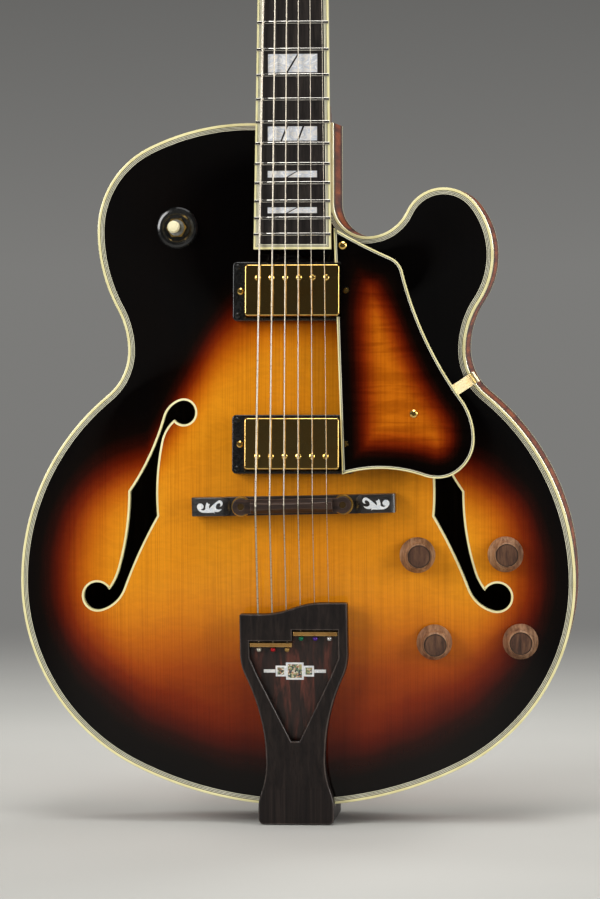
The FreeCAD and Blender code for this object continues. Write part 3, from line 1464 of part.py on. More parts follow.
heel_frame = aimed(V(0, half_depth, heel_screw_z), V(0, 1, 0))
end_button = strap_button(jack_thread_radius + running_gap, 6.2)
heel_button = strap_button(2.2, 4.2).cut(Part.makeCylinder(4.2, 5, V(0, 0, 10.4)))
save("strap_buttons", placed(end_button, jack_frame), placed(heel_button, heel_frame))
strap_screw = [
    (0, 11.8),
    (3.6, 11.8),
    (3.9, 11.2),
    (3.9, 10.5),
    (strap_screw_radius, 10.5),
    (strap_screw_radius, 2 - strap_screw_length),
    (0, -strap_screw_length),
]
screws.append(placed(turned(strap_screw), heel_frame))
tail_screw = [
    (0, 0.5),
    (3.0, 0.5),
    (tail_head_radius, 1.2),
    (tail_head_radius, 2.2),
    (tail_screw_radius, 3.1),
    (tail_screw_radius, tail_screw_length - 2),
    (0, tail_screw_length),
]
screws.append(turned(tail_screw))
for row in cover_screw_rows:
    y = -cover_seat - cover_thickness - running_gap
    screw = button_head(0, y, row, 1.6, 0.8, cover_thickness + 0.1, cover_screw_radius)
    screws.append(placed(screw, head_frame))
save("screws", *screws)
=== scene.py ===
import json
import math
from contextlib import contextmanager

import bmesh
import bpy
import numpy as np
from mathutils import Matrix, Vector
from mathutils.geometry import delaunay_2d_cdt


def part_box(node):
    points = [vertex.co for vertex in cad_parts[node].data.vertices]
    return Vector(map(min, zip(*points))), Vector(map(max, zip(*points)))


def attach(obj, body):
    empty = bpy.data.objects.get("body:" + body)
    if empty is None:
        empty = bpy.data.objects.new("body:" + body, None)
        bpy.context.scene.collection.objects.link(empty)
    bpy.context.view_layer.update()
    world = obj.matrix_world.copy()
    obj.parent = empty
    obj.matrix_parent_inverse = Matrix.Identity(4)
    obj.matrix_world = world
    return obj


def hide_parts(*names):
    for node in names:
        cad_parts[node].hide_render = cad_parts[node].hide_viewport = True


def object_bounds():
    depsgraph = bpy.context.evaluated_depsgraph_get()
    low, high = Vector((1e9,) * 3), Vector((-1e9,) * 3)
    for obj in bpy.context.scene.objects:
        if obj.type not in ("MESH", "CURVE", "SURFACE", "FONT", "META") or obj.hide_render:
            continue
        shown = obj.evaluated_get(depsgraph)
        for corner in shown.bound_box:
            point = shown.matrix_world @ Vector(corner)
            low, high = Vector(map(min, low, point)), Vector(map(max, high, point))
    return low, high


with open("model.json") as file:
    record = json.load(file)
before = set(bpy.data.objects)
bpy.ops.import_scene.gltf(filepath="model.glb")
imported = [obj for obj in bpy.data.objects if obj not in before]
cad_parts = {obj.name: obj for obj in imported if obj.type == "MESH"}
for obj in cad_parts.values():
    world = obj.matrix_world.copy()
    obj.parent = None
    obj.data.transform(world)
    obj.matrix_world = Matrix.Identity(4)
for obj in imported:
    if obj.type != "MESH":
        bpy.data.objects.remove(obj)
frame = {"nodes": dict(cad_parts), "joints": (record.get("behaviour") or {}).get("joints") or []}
cad_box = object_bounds()
nodes = frame["nodes"]

# Sides: two strips of figured maple, bent to the body's outline over a hot iron, glued to blocks
# and linings inside, stained red-brown and shaded to black towards the bindings, then lacquered.
MM = 0.001
foot_z = 12.5
body_top_z = 515.1
lower_bout = (205.0, 177.9)
waist = (124.3, 348.2)
horn_side = (145.3, 418.1)
horn_tip = (108.7, 467.4)
cutaway_floor = (52.5, 431.7)
cutaway_radius = 24.5
wall_foot = (28.0, cutaway_floor[1] + cutaway_radius)
wall_top = (28.0, body_top_z)
shoulder_start = (-33.3, body_top_z)
shoulder_side = (-146.5, 436.2)
bottom = (0.0, foot_z)
half_depth = 43.0
other_hand = np.array([-1.0, 1.0])


def heading_normal(heading):
    turn = math.radians(heading)
    return np.array([-math.sin(turn), math.cos(turn)])


def arc_pair(start, start_heading, end, end_heading, first_radius):
    """Two arcs that leave start and reach end at the given headings: (start, end, centre, radius) each."""
    a = heading_normal(start_heading)
    b = heading_normal(end_heading)
    start = np.array(start)
    end = np.array(end)
    gap = end - start
    reach = gap @ gap - 2 * first_radius * (gap @ a)
    lean = gap @ b + first_radius * (1 - a @ b)
    second_radius = -reach / (2 * lean)
    first_centre = start + first_radius * a
    second_centre = end + second_radius * b
    share = first_radius / (first_radius - second_radius)
    meet = first_centre - (first_centre - second_centre) * share
    return [(start, meet, first_centre, first_radius), (meet, end, second_centre, second_radius)]


def line(start, end):
    return [(np.array(start), np.array(end), None, 0.0)]


def flipped(run):
    turned = []
    for start, end, centre, radius in reversed(run):
        mirror = None if centre is None else centre * other_hand
        turned.append((end * other_hand, start * other_hand, mirror, radius))
    return turned


lower_half = arc_pair(bottom, 0, lower_bout, 90, 270.0) + arc_pair(lower_bout, 90, waist, 90, 178.0)
body_run = lower_half + arc_pair(waist, 90, horn_side, 90, -64.0)
body_run += arc_pair(horn_side, 90, horn_tip, 180, 61.5) + arc_pair(horn_tip, 180, cutaway_floor, 180, 30.0)
cutaway_centre = np.array([cutaway_floor[0], cutaway_floor[1] + cutaway_radius])
body_run += [(np.array(cutaway_floor), np.array(wall_foot), cutaway_centre, -cutaway_radius)]
body_run += line(wall_foot, wall_top) + line(wall_top, shoulder_start)
body_run += arc_pair(shoulder_start, 180, shoulder_side, 270, 170.0)
shoulder_mirror = (-shoulder_side[0], shoulder_side[1])
body_run += flipped(arc_pair(waist, 90, shoulder_mirror, 90, -64.0)) + flipped(lower_half)


def walk(run, step):
    """Points along a closed run, in mm, with the inward normal at each, mitred where two pieces meet."""
    points = []
    normals = []
    for start, end, centre, radius in run:
        chord = np.linalg.norm(end - start)
        count = max(2, math.ceil(chord / step))
        for index in range(count + 1):
            spot = start + (end - start) * index / count
            if centre is None:
                normal = np.array([start[1] - end[1], end[0] - start[0]]) / chord
            else:
                spot = centre + (spot - centre) * abs(radius) / np.linalg.norm(spot - centre)
                normal = (centre - spot) / radius
            points.append(spot)
            normals.append(normal)
    kept_points = []
    kept_normals = []
    for index in range(len(points)):
        if np.linalg.norm(points[index] - points[index - 1]) > 1e-6:
            kept_points.append(points[index])
            kept_normals.append(normals[index])
            continue
        before = normals[index - 1]
        after = normals[index]
        mitre = (before + after) / (1 + before @ after)
        if kept_points:
            kept_normals[-1] = mitre
    first = normals[0] + normals[-1]
    kept_normals[0 if len(kept_points) == len(points) else -1] = first / (1 + normals[0] @ normals[-1])
    return np.array(kept_points), np.array(kept_normals)


def paint(red, green, blue):
    """A colour read as screen values from 0 to 255, as the linear colour that a shader takes."""
    linear = []
    for c in (red, green, blue):
        linear.append(c / 255 / 12.92 if c <= 10 else ((c / 255 + 0.055) / 1.055) ** 2.4)
    return (*linear, 1.0)


def tones(*colours):
    return [paint(*colour) for colour in colours]


class Finish:
    """A material whose nodes are added one by one; put() sets values and links sockets by name."""

    def __init__(self, name, **surface):
        self.material = bpy.data.materials.new(name)
        self.material.use_nodes = True
        self.tree = self.material.node_tree
        self.shader = self.tree.nodes["Principled BSDF"]
        self.feed(self.shader, surface)

    def feed(self, node, inputs):
        for key, value in inputs.items():
            if isinstance(value, bpy.types.NodeSocket):
                self.tree.links.new(value, node.inputs[key])
            else:
                node.inputs[key].default_value = value

    def put(self, kind, inputs, **settings):
        node = self.tree.nodes.new("ShaderNode" + kind)
        for key, value in settings.items():
            setattr(node, key, value)
        self.feed(node, inputs)
        return node.outputs

    def place(self, stretch, turn=(0, 0, 0), spot=None):
        """Object coordinates or a given spot, stretched to a texture's own scale and turned along the grain."""
        spot = spot or self.put("TexCoord", {})["Object"]
        return self.put("Mapping", {"Vector": spot, "Scale": stretch, "Rotation": turn})["Vector"]

    def noise(self, stretch, detail=4, rough=0.55, warp=0.0, turn=(0, 0, 0), spot=None):
        inputs = {"Vector": self.place(stretch, turn, spot), "Scale": 1.0, "Detail": detail}
        inputs.update({"Roughness": rough, "Distortion": warp})
        return self.put("TexNoise", inputs)["Fac"]

    def ramp(self, fac, stops):
        stops = list(stops)
        outputs = self.put("ValToRGB", {"Fac": fac})
        elements = outputs["Color"].node.color_ramp.elements
        while len(elements) < len(stops):
            elements.new(1.0)
        for element, (place, colour) in zip(elements, stops):
            element.position = place
            element.color = colour if len(colour) == 4 else (*colour, 1.0)
        return outputs["Color"]

    def mix(self, kind, fac, first, second):
        outputs = self.put("Mix", {}, data_type="RGBA", blend_type=kind)
        self.feed(outputs[2].node, {0: fac, 6: first, 7: second})
        return outputs[2]

    def span(self, value, low, high, to_low, to_high):
        inputs = {"Value": value, "From Min": low, "From Max": high, "To Min": to_low, "To Max": to_high}
        return self.put("MapRange", inputs)["Result"]

    def axes(self):
        return self.put("SeparateXYZ", {"Vector": self.put("TexCoord", {})["Object"]})

    def reckon(self, operation, *values):
        return self.put("Math", dict(enumerate(values)), operation=operation)[0]

    def bump(self, height, depth, strength=1.0):
        normal = self.put("Bump", {"Height": height, "Distance": depth, "Strength": strength})["Normal"]
        self.tree.links.new(normal, self.shader.inputs["Normal"])

    def surface(self, **inputs):
        self.feed(self.shader, {key.replace("_", " "): value for key, value in inputs.items()})
        return self.material

    def lacquer(self, colour, ior=1.36, gloss=1.0, rough=0.05):
        coat = {"Coat_Weight": gloss, "Coat_Roughness": rough, "Coat_IOR": ior}
        return self.surface(Base_Color=colour, Specular_IOR_Level=0.0, **coat)


def dress(name, material):
    """Gives a piece that keeps the shape of its solid the finish of the real one."""
    node = nodes[name]
    node.data.materials.clear()
    node.data.materials.append(material)


def flamed_maple(name, colours, curls=(150, 6, 150), gloss=1.0, edges=None):
    """Maple with curl running across the grain, under stain and gloss lacquer."""
    finish = Finish(name, Roughness=0.42)
    curl = finish.noise(curls, detail=2, warp=0.8)
    pores = finish.noise((320, 320, 40), detail=6)
    blotch = finish.noise((9, 9, 7), detail=2)
    stripes = finish.ramp(curl, zip((0.34, 0.5, 0.66), colours))
    cloud = finish.ramp(blotch, [(0.3, (0.78, 0.74, 0.72)), (0.7, (1, 1, 1))])
    colour = finish.mix("MULTIPLY", 0.8, stripes, cloud)
    fleck = finish.ramp(pores, [(0.35, (0.72, 0.66, 0.6)), (0.6, (1, 1, 1))])
    colour = finish.mix("MULTIPLY", 0.5, colour, fleck)
    if edges:
        axes = finish.axes()
        depth = finish.reckon("ABSOLUTE", axes["Y"])
        shade = finish.span(depth, edges[0], edges[1], 0.0, 1.0)
        colour = finish.mix("MIX", shade, colour, paint(20, 8, 5))
    finish.bump(pores, 0.00008, 0.25)
    return finish.lacquer(colour, gloss=gloss, rough=0.06)


side_tones = tones((96, 34, 14), (140, 60, 22), (172, 86, 34))
side_maple = flamed_maple("side maple", side_tones, gloss=0.5, edges=(0.012, 0.037))
for side in ("bass_side", "treble_side"):
    dress(side, side_maple)

# Blocks, kerfed linings and tone bars: softwood glued inside the body, seen only through the f-holes, its grain
# darkened as painted shade for the dim inside. They carry the neck and the end button and stiffen the seams of
# the plates.
bare = Finish("inner wood darkened as painted shade", Roughness=0.8)
inner_grain = bare.noise((380, 380, 14), detail=5, warp=0.4)
# Tones far darker than bare softwood: painted shade, standing in for the dim inside of the body.
shade_darkened_inner_tones = tones((44, 31, 20), (62, 45, 30), (78, 58, 40))
shade_darkened_colour = bare.ramp(inner_grain, zip((0.3, 0.55, 0.8), shade_darkened_inner_tones))
bare.bump(inner_grain, 0.0002, 0.4)
shade_darkened_inner_wood = bare.surface(Base_Color=shade_darkened_colour, Specular_IOR_Level=0.25)
for piece in ("end_blocks", "linings", "tone_bars"):
    dress(piece, shade_darkened_inner_wood)

# Top plate: spruce carved to an arch, with two f-holes and openings for the pickups and controls,
# glued into the bindings' rabbet, then sprayed amber, red-brown and black in a sunburst under gloss lacquer.
top_arch = 20.0
flat_margin = 7.0
plate_inset = 5.0
plate_depth = 6.0
arch_centre_z = foot_z + 0.42 * (body_top_z - foot_z)
fade_reach = 45.0
mesh_step = 4.0
rim_points, rim_normals = walk(body_run, 3.0)
bass_rim = np.array([p for p in rim_points if p[0] < -30.0 and p[1] < body_top_z - 0.2])
bass_rim = bass_rim[np.argsort(bass_rim[:, 1])]
cutaway_rim = rim_points[(rim_points[:, 0] > 27.9) & (rim_points[:, 1] > cutaway_floor[1] - 0.1)]
cutaway_rim = cutaway_rim[cutaway_rim[:, 0] < horn_tip[0] + 0.1]


def half_width(z):
    return np.interp(z, bass_rim[:, 1], -bass_rim[:, 0], left=0.0)


def arch(x, z, rise):
    """Height of the carved arch above its flat margin, in mm."""
    x, z = np.asarray(x, float), np.asarray(z, float)
    reach = np.maximum(half_width(z) - flat_margin, 1e-3)
    limit = np.where(z > arch_centre_z, body_top_z - flat_margin, foot_z + flat_margin)
    along = np.clip((z - arch_centre_z) / (limit - arch_centre_z), 0, 1)
    across = np.clip(np.abs(x) / reach, 0, 1)
    clear = np.min(np.hypot(x[..., None] - cutaway_rim[:, 0], z[..., None] - cutaway_rim[:, 1]), axis=-1)
    part = np.clip((clear - flat_margin) / fade_reach, 0, 1)
    return rise * part**2 * (3 - 2 * part) * (1 - across**2) ** 2 * (1 - along**2) ** 2


def inside(points, loop):
    """Which points lie inside a closed loop, by counting crossings."""
    x, z = points[:, 0], points[:, 1]
    within = np.zeros(len(points), bool)
    for (ax, az), (bx, bz) in zip(loop, np.roll(loop, -1, axis=0)):
        crosses = (az > z) != (bz > z)
        within ^= crosses & (x < ax + (z - az) * (bx - ax) / (bz - az + 1e-12))
    return within


def gap_to(points, loop):
    """Distance from each point to a closed loop of points."""
    nearest = np.full(len(points), 1e9)
    for a, b in zip(loop, np.roll(loop, -1, axis=0)):
        way = b - a
        share = np.clip((points - a) @ way / (way @ way), 0, 1)
        nearest = np.minimum(nearest, np.linalg.norm(points - a - share[:, None] * way, axis=1))
    return nearest


def soften(mesh, angle):
    """Shades a mesh smoothly, except across edges sharper than the angle."""
    mesh.polygons.foreach_set("use_smooth", [True] * len(mesh.polygons))
    mesh.set_sharp_from_angle(angle=math.radians(angle))


def new_mesh(name, spots, faces):
    mesh = bpy.data.meshes.new(name)
    mesh.from_pydata(spots, [], faces)
    return mesh


@contextmanager
def reworked(mesh):
    """Opens a mesh for edits to its edges and faces, and writes them back."""
    work = bmesh.new()
    work.from_mesh(mesh)
    yield work
    work.to_mesh(mesh)
    work.free()


def sheet_mesh(name, rim, holes, height, thickness, step):
    """A carved plate: a triangulated sheet with holes, its height(x, z) in front and a back face behind it.

    Loops are in mm in the x-z plane; the front faces -y when thickness is positive, +y when negative.
    The back face takes the second finish."""
    loops = [np.asarray(rim)] + [np.asarray(hole) for hole in holes]
    low, high = loops[0].min(0), loops[0].max(0)
    rows = np.arange(low[1], high[1], step * 0.866)
    columns = np.arange(low[0], high[0], step)
    grid = np.array([(x + (step / 2 if row % 2 else 0), z) for row, z in enumerate(rows) for x in columns])
    keep = inside(grid, loops[0]) & (gap_to(grid, loops[0]) > 0.6 * step)
    for hole in loops[1:]:
        keep &= ~inside(grid, hole) & (gap_to(grid, hole) > 0.5 * step)
    flat = np.vstack(loops + [grid[keep]])
    edges = []
    start = 0
    for loop in loops:
        edges += [(start + i, start + (i + 1) % len(loop)) for i in range(len(loop))]
        start += len(loop)
    spots, _, faces, *_ = delaunay_2d_cdt([Vector(p) for p in flat], edges, [], 0, 1e-4)
    spots = np.array([tuple(p) for p in spots])
    triangles = np.array([f for f in faces if len(f) == 3])
    middles = spots[triangles].mean(axis=1)
    good = inside(middles, loops[0])
    for hole in loops[1:]:
        good &= ~inside(middles, hole)
    triangles = triangles[good]
    a, b, c = (spots[triangles[:, corner]] for corner in range(3))
    turn = (b[:, 0] - a[:, 0]) * (c[:, 1] - a[:, 1]) - (b[:, 1] - a[:, 1]) * (c[:, 0] - a[:, 0])
    flip = turn < 0
    triangles[flip] = triangles[flip][:, ::-1]
    front_y = height(spots[:, 0], spots[:, 1])
    front = np.column_stack([spots[:, 0], front_y, spots[:, 1]])
    back = front + [0, thickness, 0]
    count = len(spots)
    uses = {}
    for tri in triangles:
        for i in range(3):
            uses[(tri[i], tri[(i + 1) % 3])] = True
    walls = [(p, q) for p, q in uses if (q, p) not in uses]
    polygons = [tuple(t) for t in triangles] + [tuple(t[::-1] + count) for t in triangles]
    polygons += [(q, p, p + count, q + count) for p, q in walls]
    if thickness < 0:
        polygons = [face[::-1] for face in polygons]
    mesh = new_mesh(name, [tuple(v * MM) for v in np.vstack([front, back])], polygons)
    behind = range(len(triangles), 2 * len(triangles))
    mesh.polygons.foreach_set("material_index", [int(number in behind) for number in range(len(polygons))])
    mesh.update()
    soften(mesh, 40)
    return mesh, np.vstack([spots, spots])


def add_piece(name, mesh, body, slot, materials, *stands_for):
    """Links a finished mesh as a piece that rides on a CAD body and stands for CAD nodes."""
    piece = bpy.data.objects.new(name, mesh)
    bpy.context.scene.collection.objects.link(piece)
    for material in materials:
        mesh.materials.append(material)
    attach(piece, body)
    if stands_for:
        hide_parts(*stands_for)
    return piece


def smooth(value):
    value = np.clip(value, 0, 1)
    return value * value * (3 - 2 * value)


def shade_points(mesh, values):
    layer = mesh.attributes.new("burst", "FLOAT", "POINT")
    layer.data.foreach_set("value", np.asarray(values, np.float32))


bridge_z = 236.04
upper_lobe = (82.3, bridge_z + 67.0)
upper_lobe_radius = 8.8
lower_lobe = (147.7, bridge_z - 68.7)
lower_lobe_radius = 10.2
outer_nick = (122.4, bridge_z + 8.6)
inner_nick = (102.0, bridge_z - 8.8)
f_binding_width = 1.5


def on_circle(centre, radius, angle):
    turn = math.radians(angle)
    return np.array([centre[0] + radius * math.cos(turn), centre[1] + radius * math.sin(turn)])


def lobe(centre, radius, angle_from, angle_to):
    spots = [on_circle(centre, radius, angle_from + (angle_to - angle_from) * i / 4) for i in range(5)]
    return [(a, b, np.array(centre), -radius) for a, b in zip(spots, spots[1:])]


f_run = lobe(upper_lobe, upper_lobe_radius, -37, -290)
f_run += arc_pair(f_run[-1][1], -380, outer_nick, -55, -18.0)
f_run += arc_pair(outer_nick, -90, on_circle(lower_lobe, lower_lobe_radius, 153), -52, 200.0)
f_run += lobe(lower_lobe, lower_lobe_radius, 153, -105)
f_run += arc_pair(f_run[-1][1], -195, inner_nick, 120, -26.0)
f_run += arc_pair(inner_nick, 85, f_run[0][0], 140, 190.0)
f_points, f_outward = walk(f_run, 1.5)
f_edge = f_points + f_binding_width * f_outward


def bar_loop(half_long, half_wide, z):
    corners = [(-1, -1), (1, -1), (1, 1), (-1, 1)]
    return np.array([(half_long * x, z + half_wide * side) for x, side in corners])


neck_pickup_z = bridge_z + 157.0
bridge_pickup_z = bridge_z + 45.5
upper_knobs_z = bridge_z - 37
lower_knobs_z = bridge_z - 101
knob_places = [(89.5, upper_knobs_z), (153.5, upper_knobs_z), (101.5, lower_knobs_z), (164.5, lower_knobs_z)]
switch_place = (-87.0, bridge_z + 202.5)
holes = [f_edge, f_edge * other_hand]
opening = (35.5, 19.8)
opening_drop = 2.2
for place in (neck_pickup_z, bridge_pickup_z):
    holes.append(bar_loop(*opening, place - opening_drop))
control_hole, switch_hole = 4.9, 6.2
for spot, radius in [(place, control_hole) for place in knob_places] + [(switch_place, switch_hole)]:
    holes.append(np.array([on_circle(spot, radius, -angle) for angle in range(0, 360, 15)]))
plate_rim = rim_points + plate_inset * rim_normals


def top_height(x, z):
    return -half_depth - arch(x, z, top_arch)


top_mesh, top_spots = sheet_mesh("carved_top", plate_rim, holes, top_height, plate_depth, mesh_step)
edge_gap = gap_to(top_spots, rim_points)
edge_lead, edge_fade = 3.5, 78.0
upper_end, upper_fade, upper_reach, upper_bend = 432.0, 91.0, 110.0, 100.0
lower_end, lower_fade, lower_least = 85.0, 95.0, 0.5
burst_peak = 0.9
off_centre = np.minimum(np.abs(top_spots[:, 0]), upper_reach)
edge_part = smooth((edge_gap + edge_lead) / edge_fade)
upper_part = smooth((upper_end - off_centre**2 / upper_bend - top_spots[:, 1]) / upper_fade)
lower_part = lower_least + (1 - lower_least) * smooth((top_spots[:, 1] - lower_end) / lower_fade)
shade_points(top_mesh, burst_peak * edge_part * upper_part * lower_part)
burst_stops = [
    (0.0, paint(4, 3, 3)),
    (0.1, paint(11, 5, 3)),
    (0.2, paint(38, 8, 3)),
    (0.3, paint(80, 18, 3)),
    (0.42, paint(118, 37, 5)),
    (0.55, paint(158, 68, 9)),
    (0.7, paint(190, 101, 14)),
    (0.85, paint(214, 130, 22)),
    (1.0, paint(230, 156, 32)),
]


def burst_spruce(name, stops, line_scale=1.0, curl=0.0):
    """Fine straight grain under a sunburst stored point by point; curl adds ripples across it."""
    finish = Finish(name, Roughness=0.38)
    depth = finish.put("Attribute", {}, attribute_name="burst")["Fac"]
    lines = finish.noise((1500.0 * line_scale, 30.0, 9.0), detail=3, warp=0.15)
    wide_lines = finish.noise((420.0 * line_scale, 20.0, 3.0), detail=3, warp=0.3)
    silk = finish.noise((60, 60, 180), detail=3, warp=1.2)
    drift = finish.noise((14, 14, 9), detail=2)
    shift = finish.span(drift, 0.3, 0.7, -0.03, 0.03)
    uneven = finish.reckon("ADD", depth, shift)
    colour = finish.ramp(uneven, stops)
    grain = finish.ramp(lines, [(0.32, (0.7, 0.6, 0.5)), (0.52, (1, 1, 1)), (0.7, (1.06, 1.05, 1.02))])
    bands = finish.ramp(wide_lines, [(0.35, (0.9, 0.86, 0.8)), (0.62, (1, 1, 1))])
    sheen = finish.ramp(silk, [(0.4, (0.93, 0.9, 0.86)), (0.6, (1.04, 1.03, 1.0))])
    colour = finish.mix("MULTIPLY", 0.55, colour, grain)
    colour = finish.mix("MULTIPLY", 0.6, colour, bands)
    colour = finish.mix("MULTIPLY", 0.6, colour, sheen)
    if curl:
        ripple = finish.noise((22, 22, 190), detail=2, warp=0.6)
        figure = finish.ramp(ripple, [(0.36, (0.5, 0.4, 0.34)), (0.56, (1, 1, 1))])
        colour = finish.mix("MULTIPLY", curl, colour, figure)
    finish.bump(lines, 0.00004, 0.2)
    return finish.lacquer(colour, ior=1.28, rough=0.04)


top_spruce = burst_spruce("sunburst spruce", burst_stops)
# The top's inner face takes the inner wood, darkened as painted shade.
add_piece("carved_top", top_mesh, "guitar", "spruce_top", [top_spruce, shade_darkened_inner_wood], "top_plate")

# Back plate: figured maple carved to a lower arch, two book-matched halves joined on the centre line,
# with the same dark shading towards its binding.
back_arch = 16.0
back_ease = 0.02


def back_height(x, z):
    return half_depth + arch(x, z, back_arch) - back_ease


back_mesh, back_spots = sheet_mesh("carved_back", plate_rim, [], back_height, -plate_depth, 5.0)
back_gap = gap_to(back_spots, rim_points)
back_least, back_lead, back_fade = 0.12, 2.0, 95.0
shade_points(back_mesh, back_least + (1 - back_least) * smooth((back_gap + back_lead) / back_fade))


def book_matched(name):
    """Two mirrored halves of curly maple, whose curls lean away from the centre joint."""
    finish = Finish(name, Roughness=0.42)
    axes = finish.axes()
    across = finish.reckon("ABSOLUTE", axes["X"])
    lean = finish.reckon("MULTIPLY_ADD", across, 0.35, axes["Z"])
    sheet = finish.put("CombineXYZ", {"X": across, "Y": axes["Y"], "Z": lean})["Vector"]
    curl = finish.noise((9, 5, 120), detail=2, rough=0.5, warp=0.7, spot=sheet)
    lines = finish.noise((520, 5, 16), rough=0.5, spot=sheet)
    depth = finish.put("Attribute", {}, attribute_name="burst")["Fac"]
    shades = tones((14, 6, 4), (70, 18, 6), (150, 60, 16), (196, 110, 36))
    colour = finish.ramp(depth, zip((0.0, 0.3, 0.6, 0.95), shades))
    waves = [(0.5, 0.42, 0.36), (0.95, 0.92, 0.9), (1.15, 1.12, 1.05)]
    stripes = finish.ramp(curl, zip((0.36, 0.52, 0.66), waves))
    grain = finish.ramp(lines, [(0.35, (0.78, 0.72, 0.66)), (0.6, (1, 1, 1))])
    joint = finish.span(across, 0.0, 0.0006, 0.75, 1.0)
    colour = finish.mix("MULTIPLY", 0.85, colour, stripes)
    colour = finish.mix("MULTIPLY", 0.6, colour, grain)
    colour = finish.mix("MULTIPLY", 1.0, colour, joint)
    finish.bump(lines, 0.00004, 0.2)
    return finish.lacquer(colour)


back_maple = book_matched("book-matched maple")
# The back's inner face takes the inner wood, darkened as painted shade.
add_piece("carved_back", back_mesh, "guitar", "maple", [back_maple, shade_darkened_inner_wood], "back_plate")

# Body bindings: a cream celluloid strip with fine black and white lines beside it, let into the edges of
# top and back, glued with solvent and scraped flush, with the outer corner eased.
ply = 0.5
corner = 0.6
strip_depth = 6.0
line_depth = 1.5
cream_width = 2.0


def celluloid(name, colour, shade):
    """Binding celluloid: slightly cloudy, polished, a little yellowed."""
    finish = Finish(name, Roughness=0.28)
    cloud = finish.noise((70, 70, 70), detail=4)
    tone = finish.ramp(cloud, [(0.3, shade), (0.7, colour)])
    scratches = finish.noise((900, 900, 900), detail=2)
    finish.bump(scratches, 0.00002, 0.15)
    return finish.surface(Base_Color=tone, Coat_Weight=0.6, Coat_Roughness=0.06)


cream_tones = tones((240, 232, 178), (226, 214, 154))
black_tones = tones((16, 15, 14), (9, 9, 9))
white_tones = tones((226, 222, 196), (208, 204, 174))
cream = celluloid("cream celluloid", *cream_tones)
black_line = celluloid("black celluloid", *black_tones)
white_line = celluloid("white celluloid", *white_tones)
plies = [cream, black_line, white_line]


def strip_mesh(name, points, normals, profile, bands, closed=True):
    """A strip of the given profile, (inset, y) in mm, run along an outline; bands give each face's ply."""
    count = len(points)
    size = len(profile)
    spots = []
    for point, normal in zip(points, normals):
        for inset, y in profile:
            x, z = point + inset * normal
            spots.append((x * MM, y * MM, z * MM))
    faces = []
    which = []
    for i in range(count if closed else count - 1):
        j = (i + 1) % count
        for k in range(size):
            m = (k + 1) % size
            faces.append((i * size + k, j * size + k, j * size + m, i * size + m))
            which.append(bands[k])
    if not closed:
        faces += [tuple(range(size)), tuple(range((count - 1) * size, count * size))]
        which += [0, 0]
    mesh = new_mesh(name, spots, faces)
    mesh.polygons.foreach_set("material_index", which)
    square_up(mesh)
    return mesh


def square_up(mesh, angle=40):
    """Turns all faces outward and keeps edges sharper than the angle crisp."""
    with reworked(mesh) as work:
        bmesh.ops.recalc_face_normals(work, faces=work.faces)
    soften(mesh, angle)
    mesh.update()


def binding_profile(side):
    """Profile of one edge's binding from the outside, over the corner, across the lines and back under."""
    face = side * half_depth
    wall = side * (half_depth - strip_depth)
    marks = [(0.0, wall, 1), (0.0, wall + side * ply, 2), (0.0, wall + 2 * side * ply, 1)]
    marks += [(0.0, wall + 3 * side * ply, 0), (0.0, face - side * corner, 0)]
    marks += [(0.3 * corner, face - 0.3 * side * corner, 0), (corner, face, 0)]
    inset = cream_width
    tone = 1
    while inset < plate_inset - 0.01:
        marks.append((inset, face, tone))
        tone = 3 - tone
        inset += ply
    marks += [(plate_inset, face, 0), (plate_inset, face - side * line_depth, 0)]
    marks += [(cream_width, face - side * line_depth, 0), (cream_width, wall, 0)]
    return [(inset, y) for inset, y, _ in marks], [tone for _, _, tone in marks]


for side, name in ((-1, "top_binding"), (1, "back_binding")):
    profile, bands = binding_profile(side)
    ring = strip_mesh(name, rim_points, rim_normals, profile, bands)
    add_piece(name, ring, "guitar", "ivory_binding", plies, "body_bindings")

# F-hole bindings: a thin strip of cream celluloid, warmed and bent round the edge of each opening,
# glued to the bare end grain of the top and scraped level with its arch.
f_binding_rise = 0.05
for hand, name in ((1, "treble_f_binding"), (-1, "bass_f_binding")):
    turned = f_points * (other_hand if hand < 0 else 1)
    outer = f_edge * (other_hand if hand < 0 else 1)
    spots = []
    for inner_spot, outer_spot in zip(turned, outer):
        for x, z in (inner_spot, outer_spot):
            front = float(top_height(x, z))
            for y in (front - f_binding_rise, front + plate_depth):
                spots.append((x * MM, y * MM, z * MM))
    faces = []
    for i in range(len(turned)):
        a, b = 4 * i, 4 * ((i + 1) % len(turned))
        for k, m in ((0, 2), (2, 3), (3, 1), (1, 0)):
            faces.append((a + k, b + k, b + m, a + m))
    ring = new_mesh(name, spots, faces)
    square_up(ring)
    add_piece(name, ring, "guitar", "ivory_binding", [cream], "f_hole_bindings")

# Neck and heel cap: maple with the head sawn from the same board, stained deep red-brown and lacquered;
# the heel is closed with a slip of cream celluloid. A steel rod lies in a groove under the board.
neck_tones = tones((84, 28, 12), (116, 44, 18), (140, 62, 26))
dress("neck", flamed_maple("neck maple", neck_tones, curls=(24, 24, 150)))
dress("heel_cap", cream)


def drawn_steel(name, colour, lines, rough):
    """Steel drawn or turned, with fine lines along one direction."""
    finish = Finish(name, Metallic=1.0)
    streak = finish.noise(lines, detail=3)
    tone = finish.ramp(streak, [(0.3, [c * 0.8 for c in colour[:3]]), (0.7, colour)])
    gloss = finish.span(streak, 0.3, 0.7, rough * 0.8, rough * 1.25)
    finish.bump(streak, 0.00002, 0.2)
    return finish.surface(Base_Color=tone, Roughness=gloss)


rod_steel = drawn_steel("truss rod steel", paint(150, 150, 148), (400, 400, 12), 0.4)
dress("truss_rod", rod_steel)


# Fretboard: ebony, planed to a shallow radius, slotted for the frets and bound with cream celluloid
# round its sides and end. Pearl blocks are let in between the frets, each cut by leaning seams.


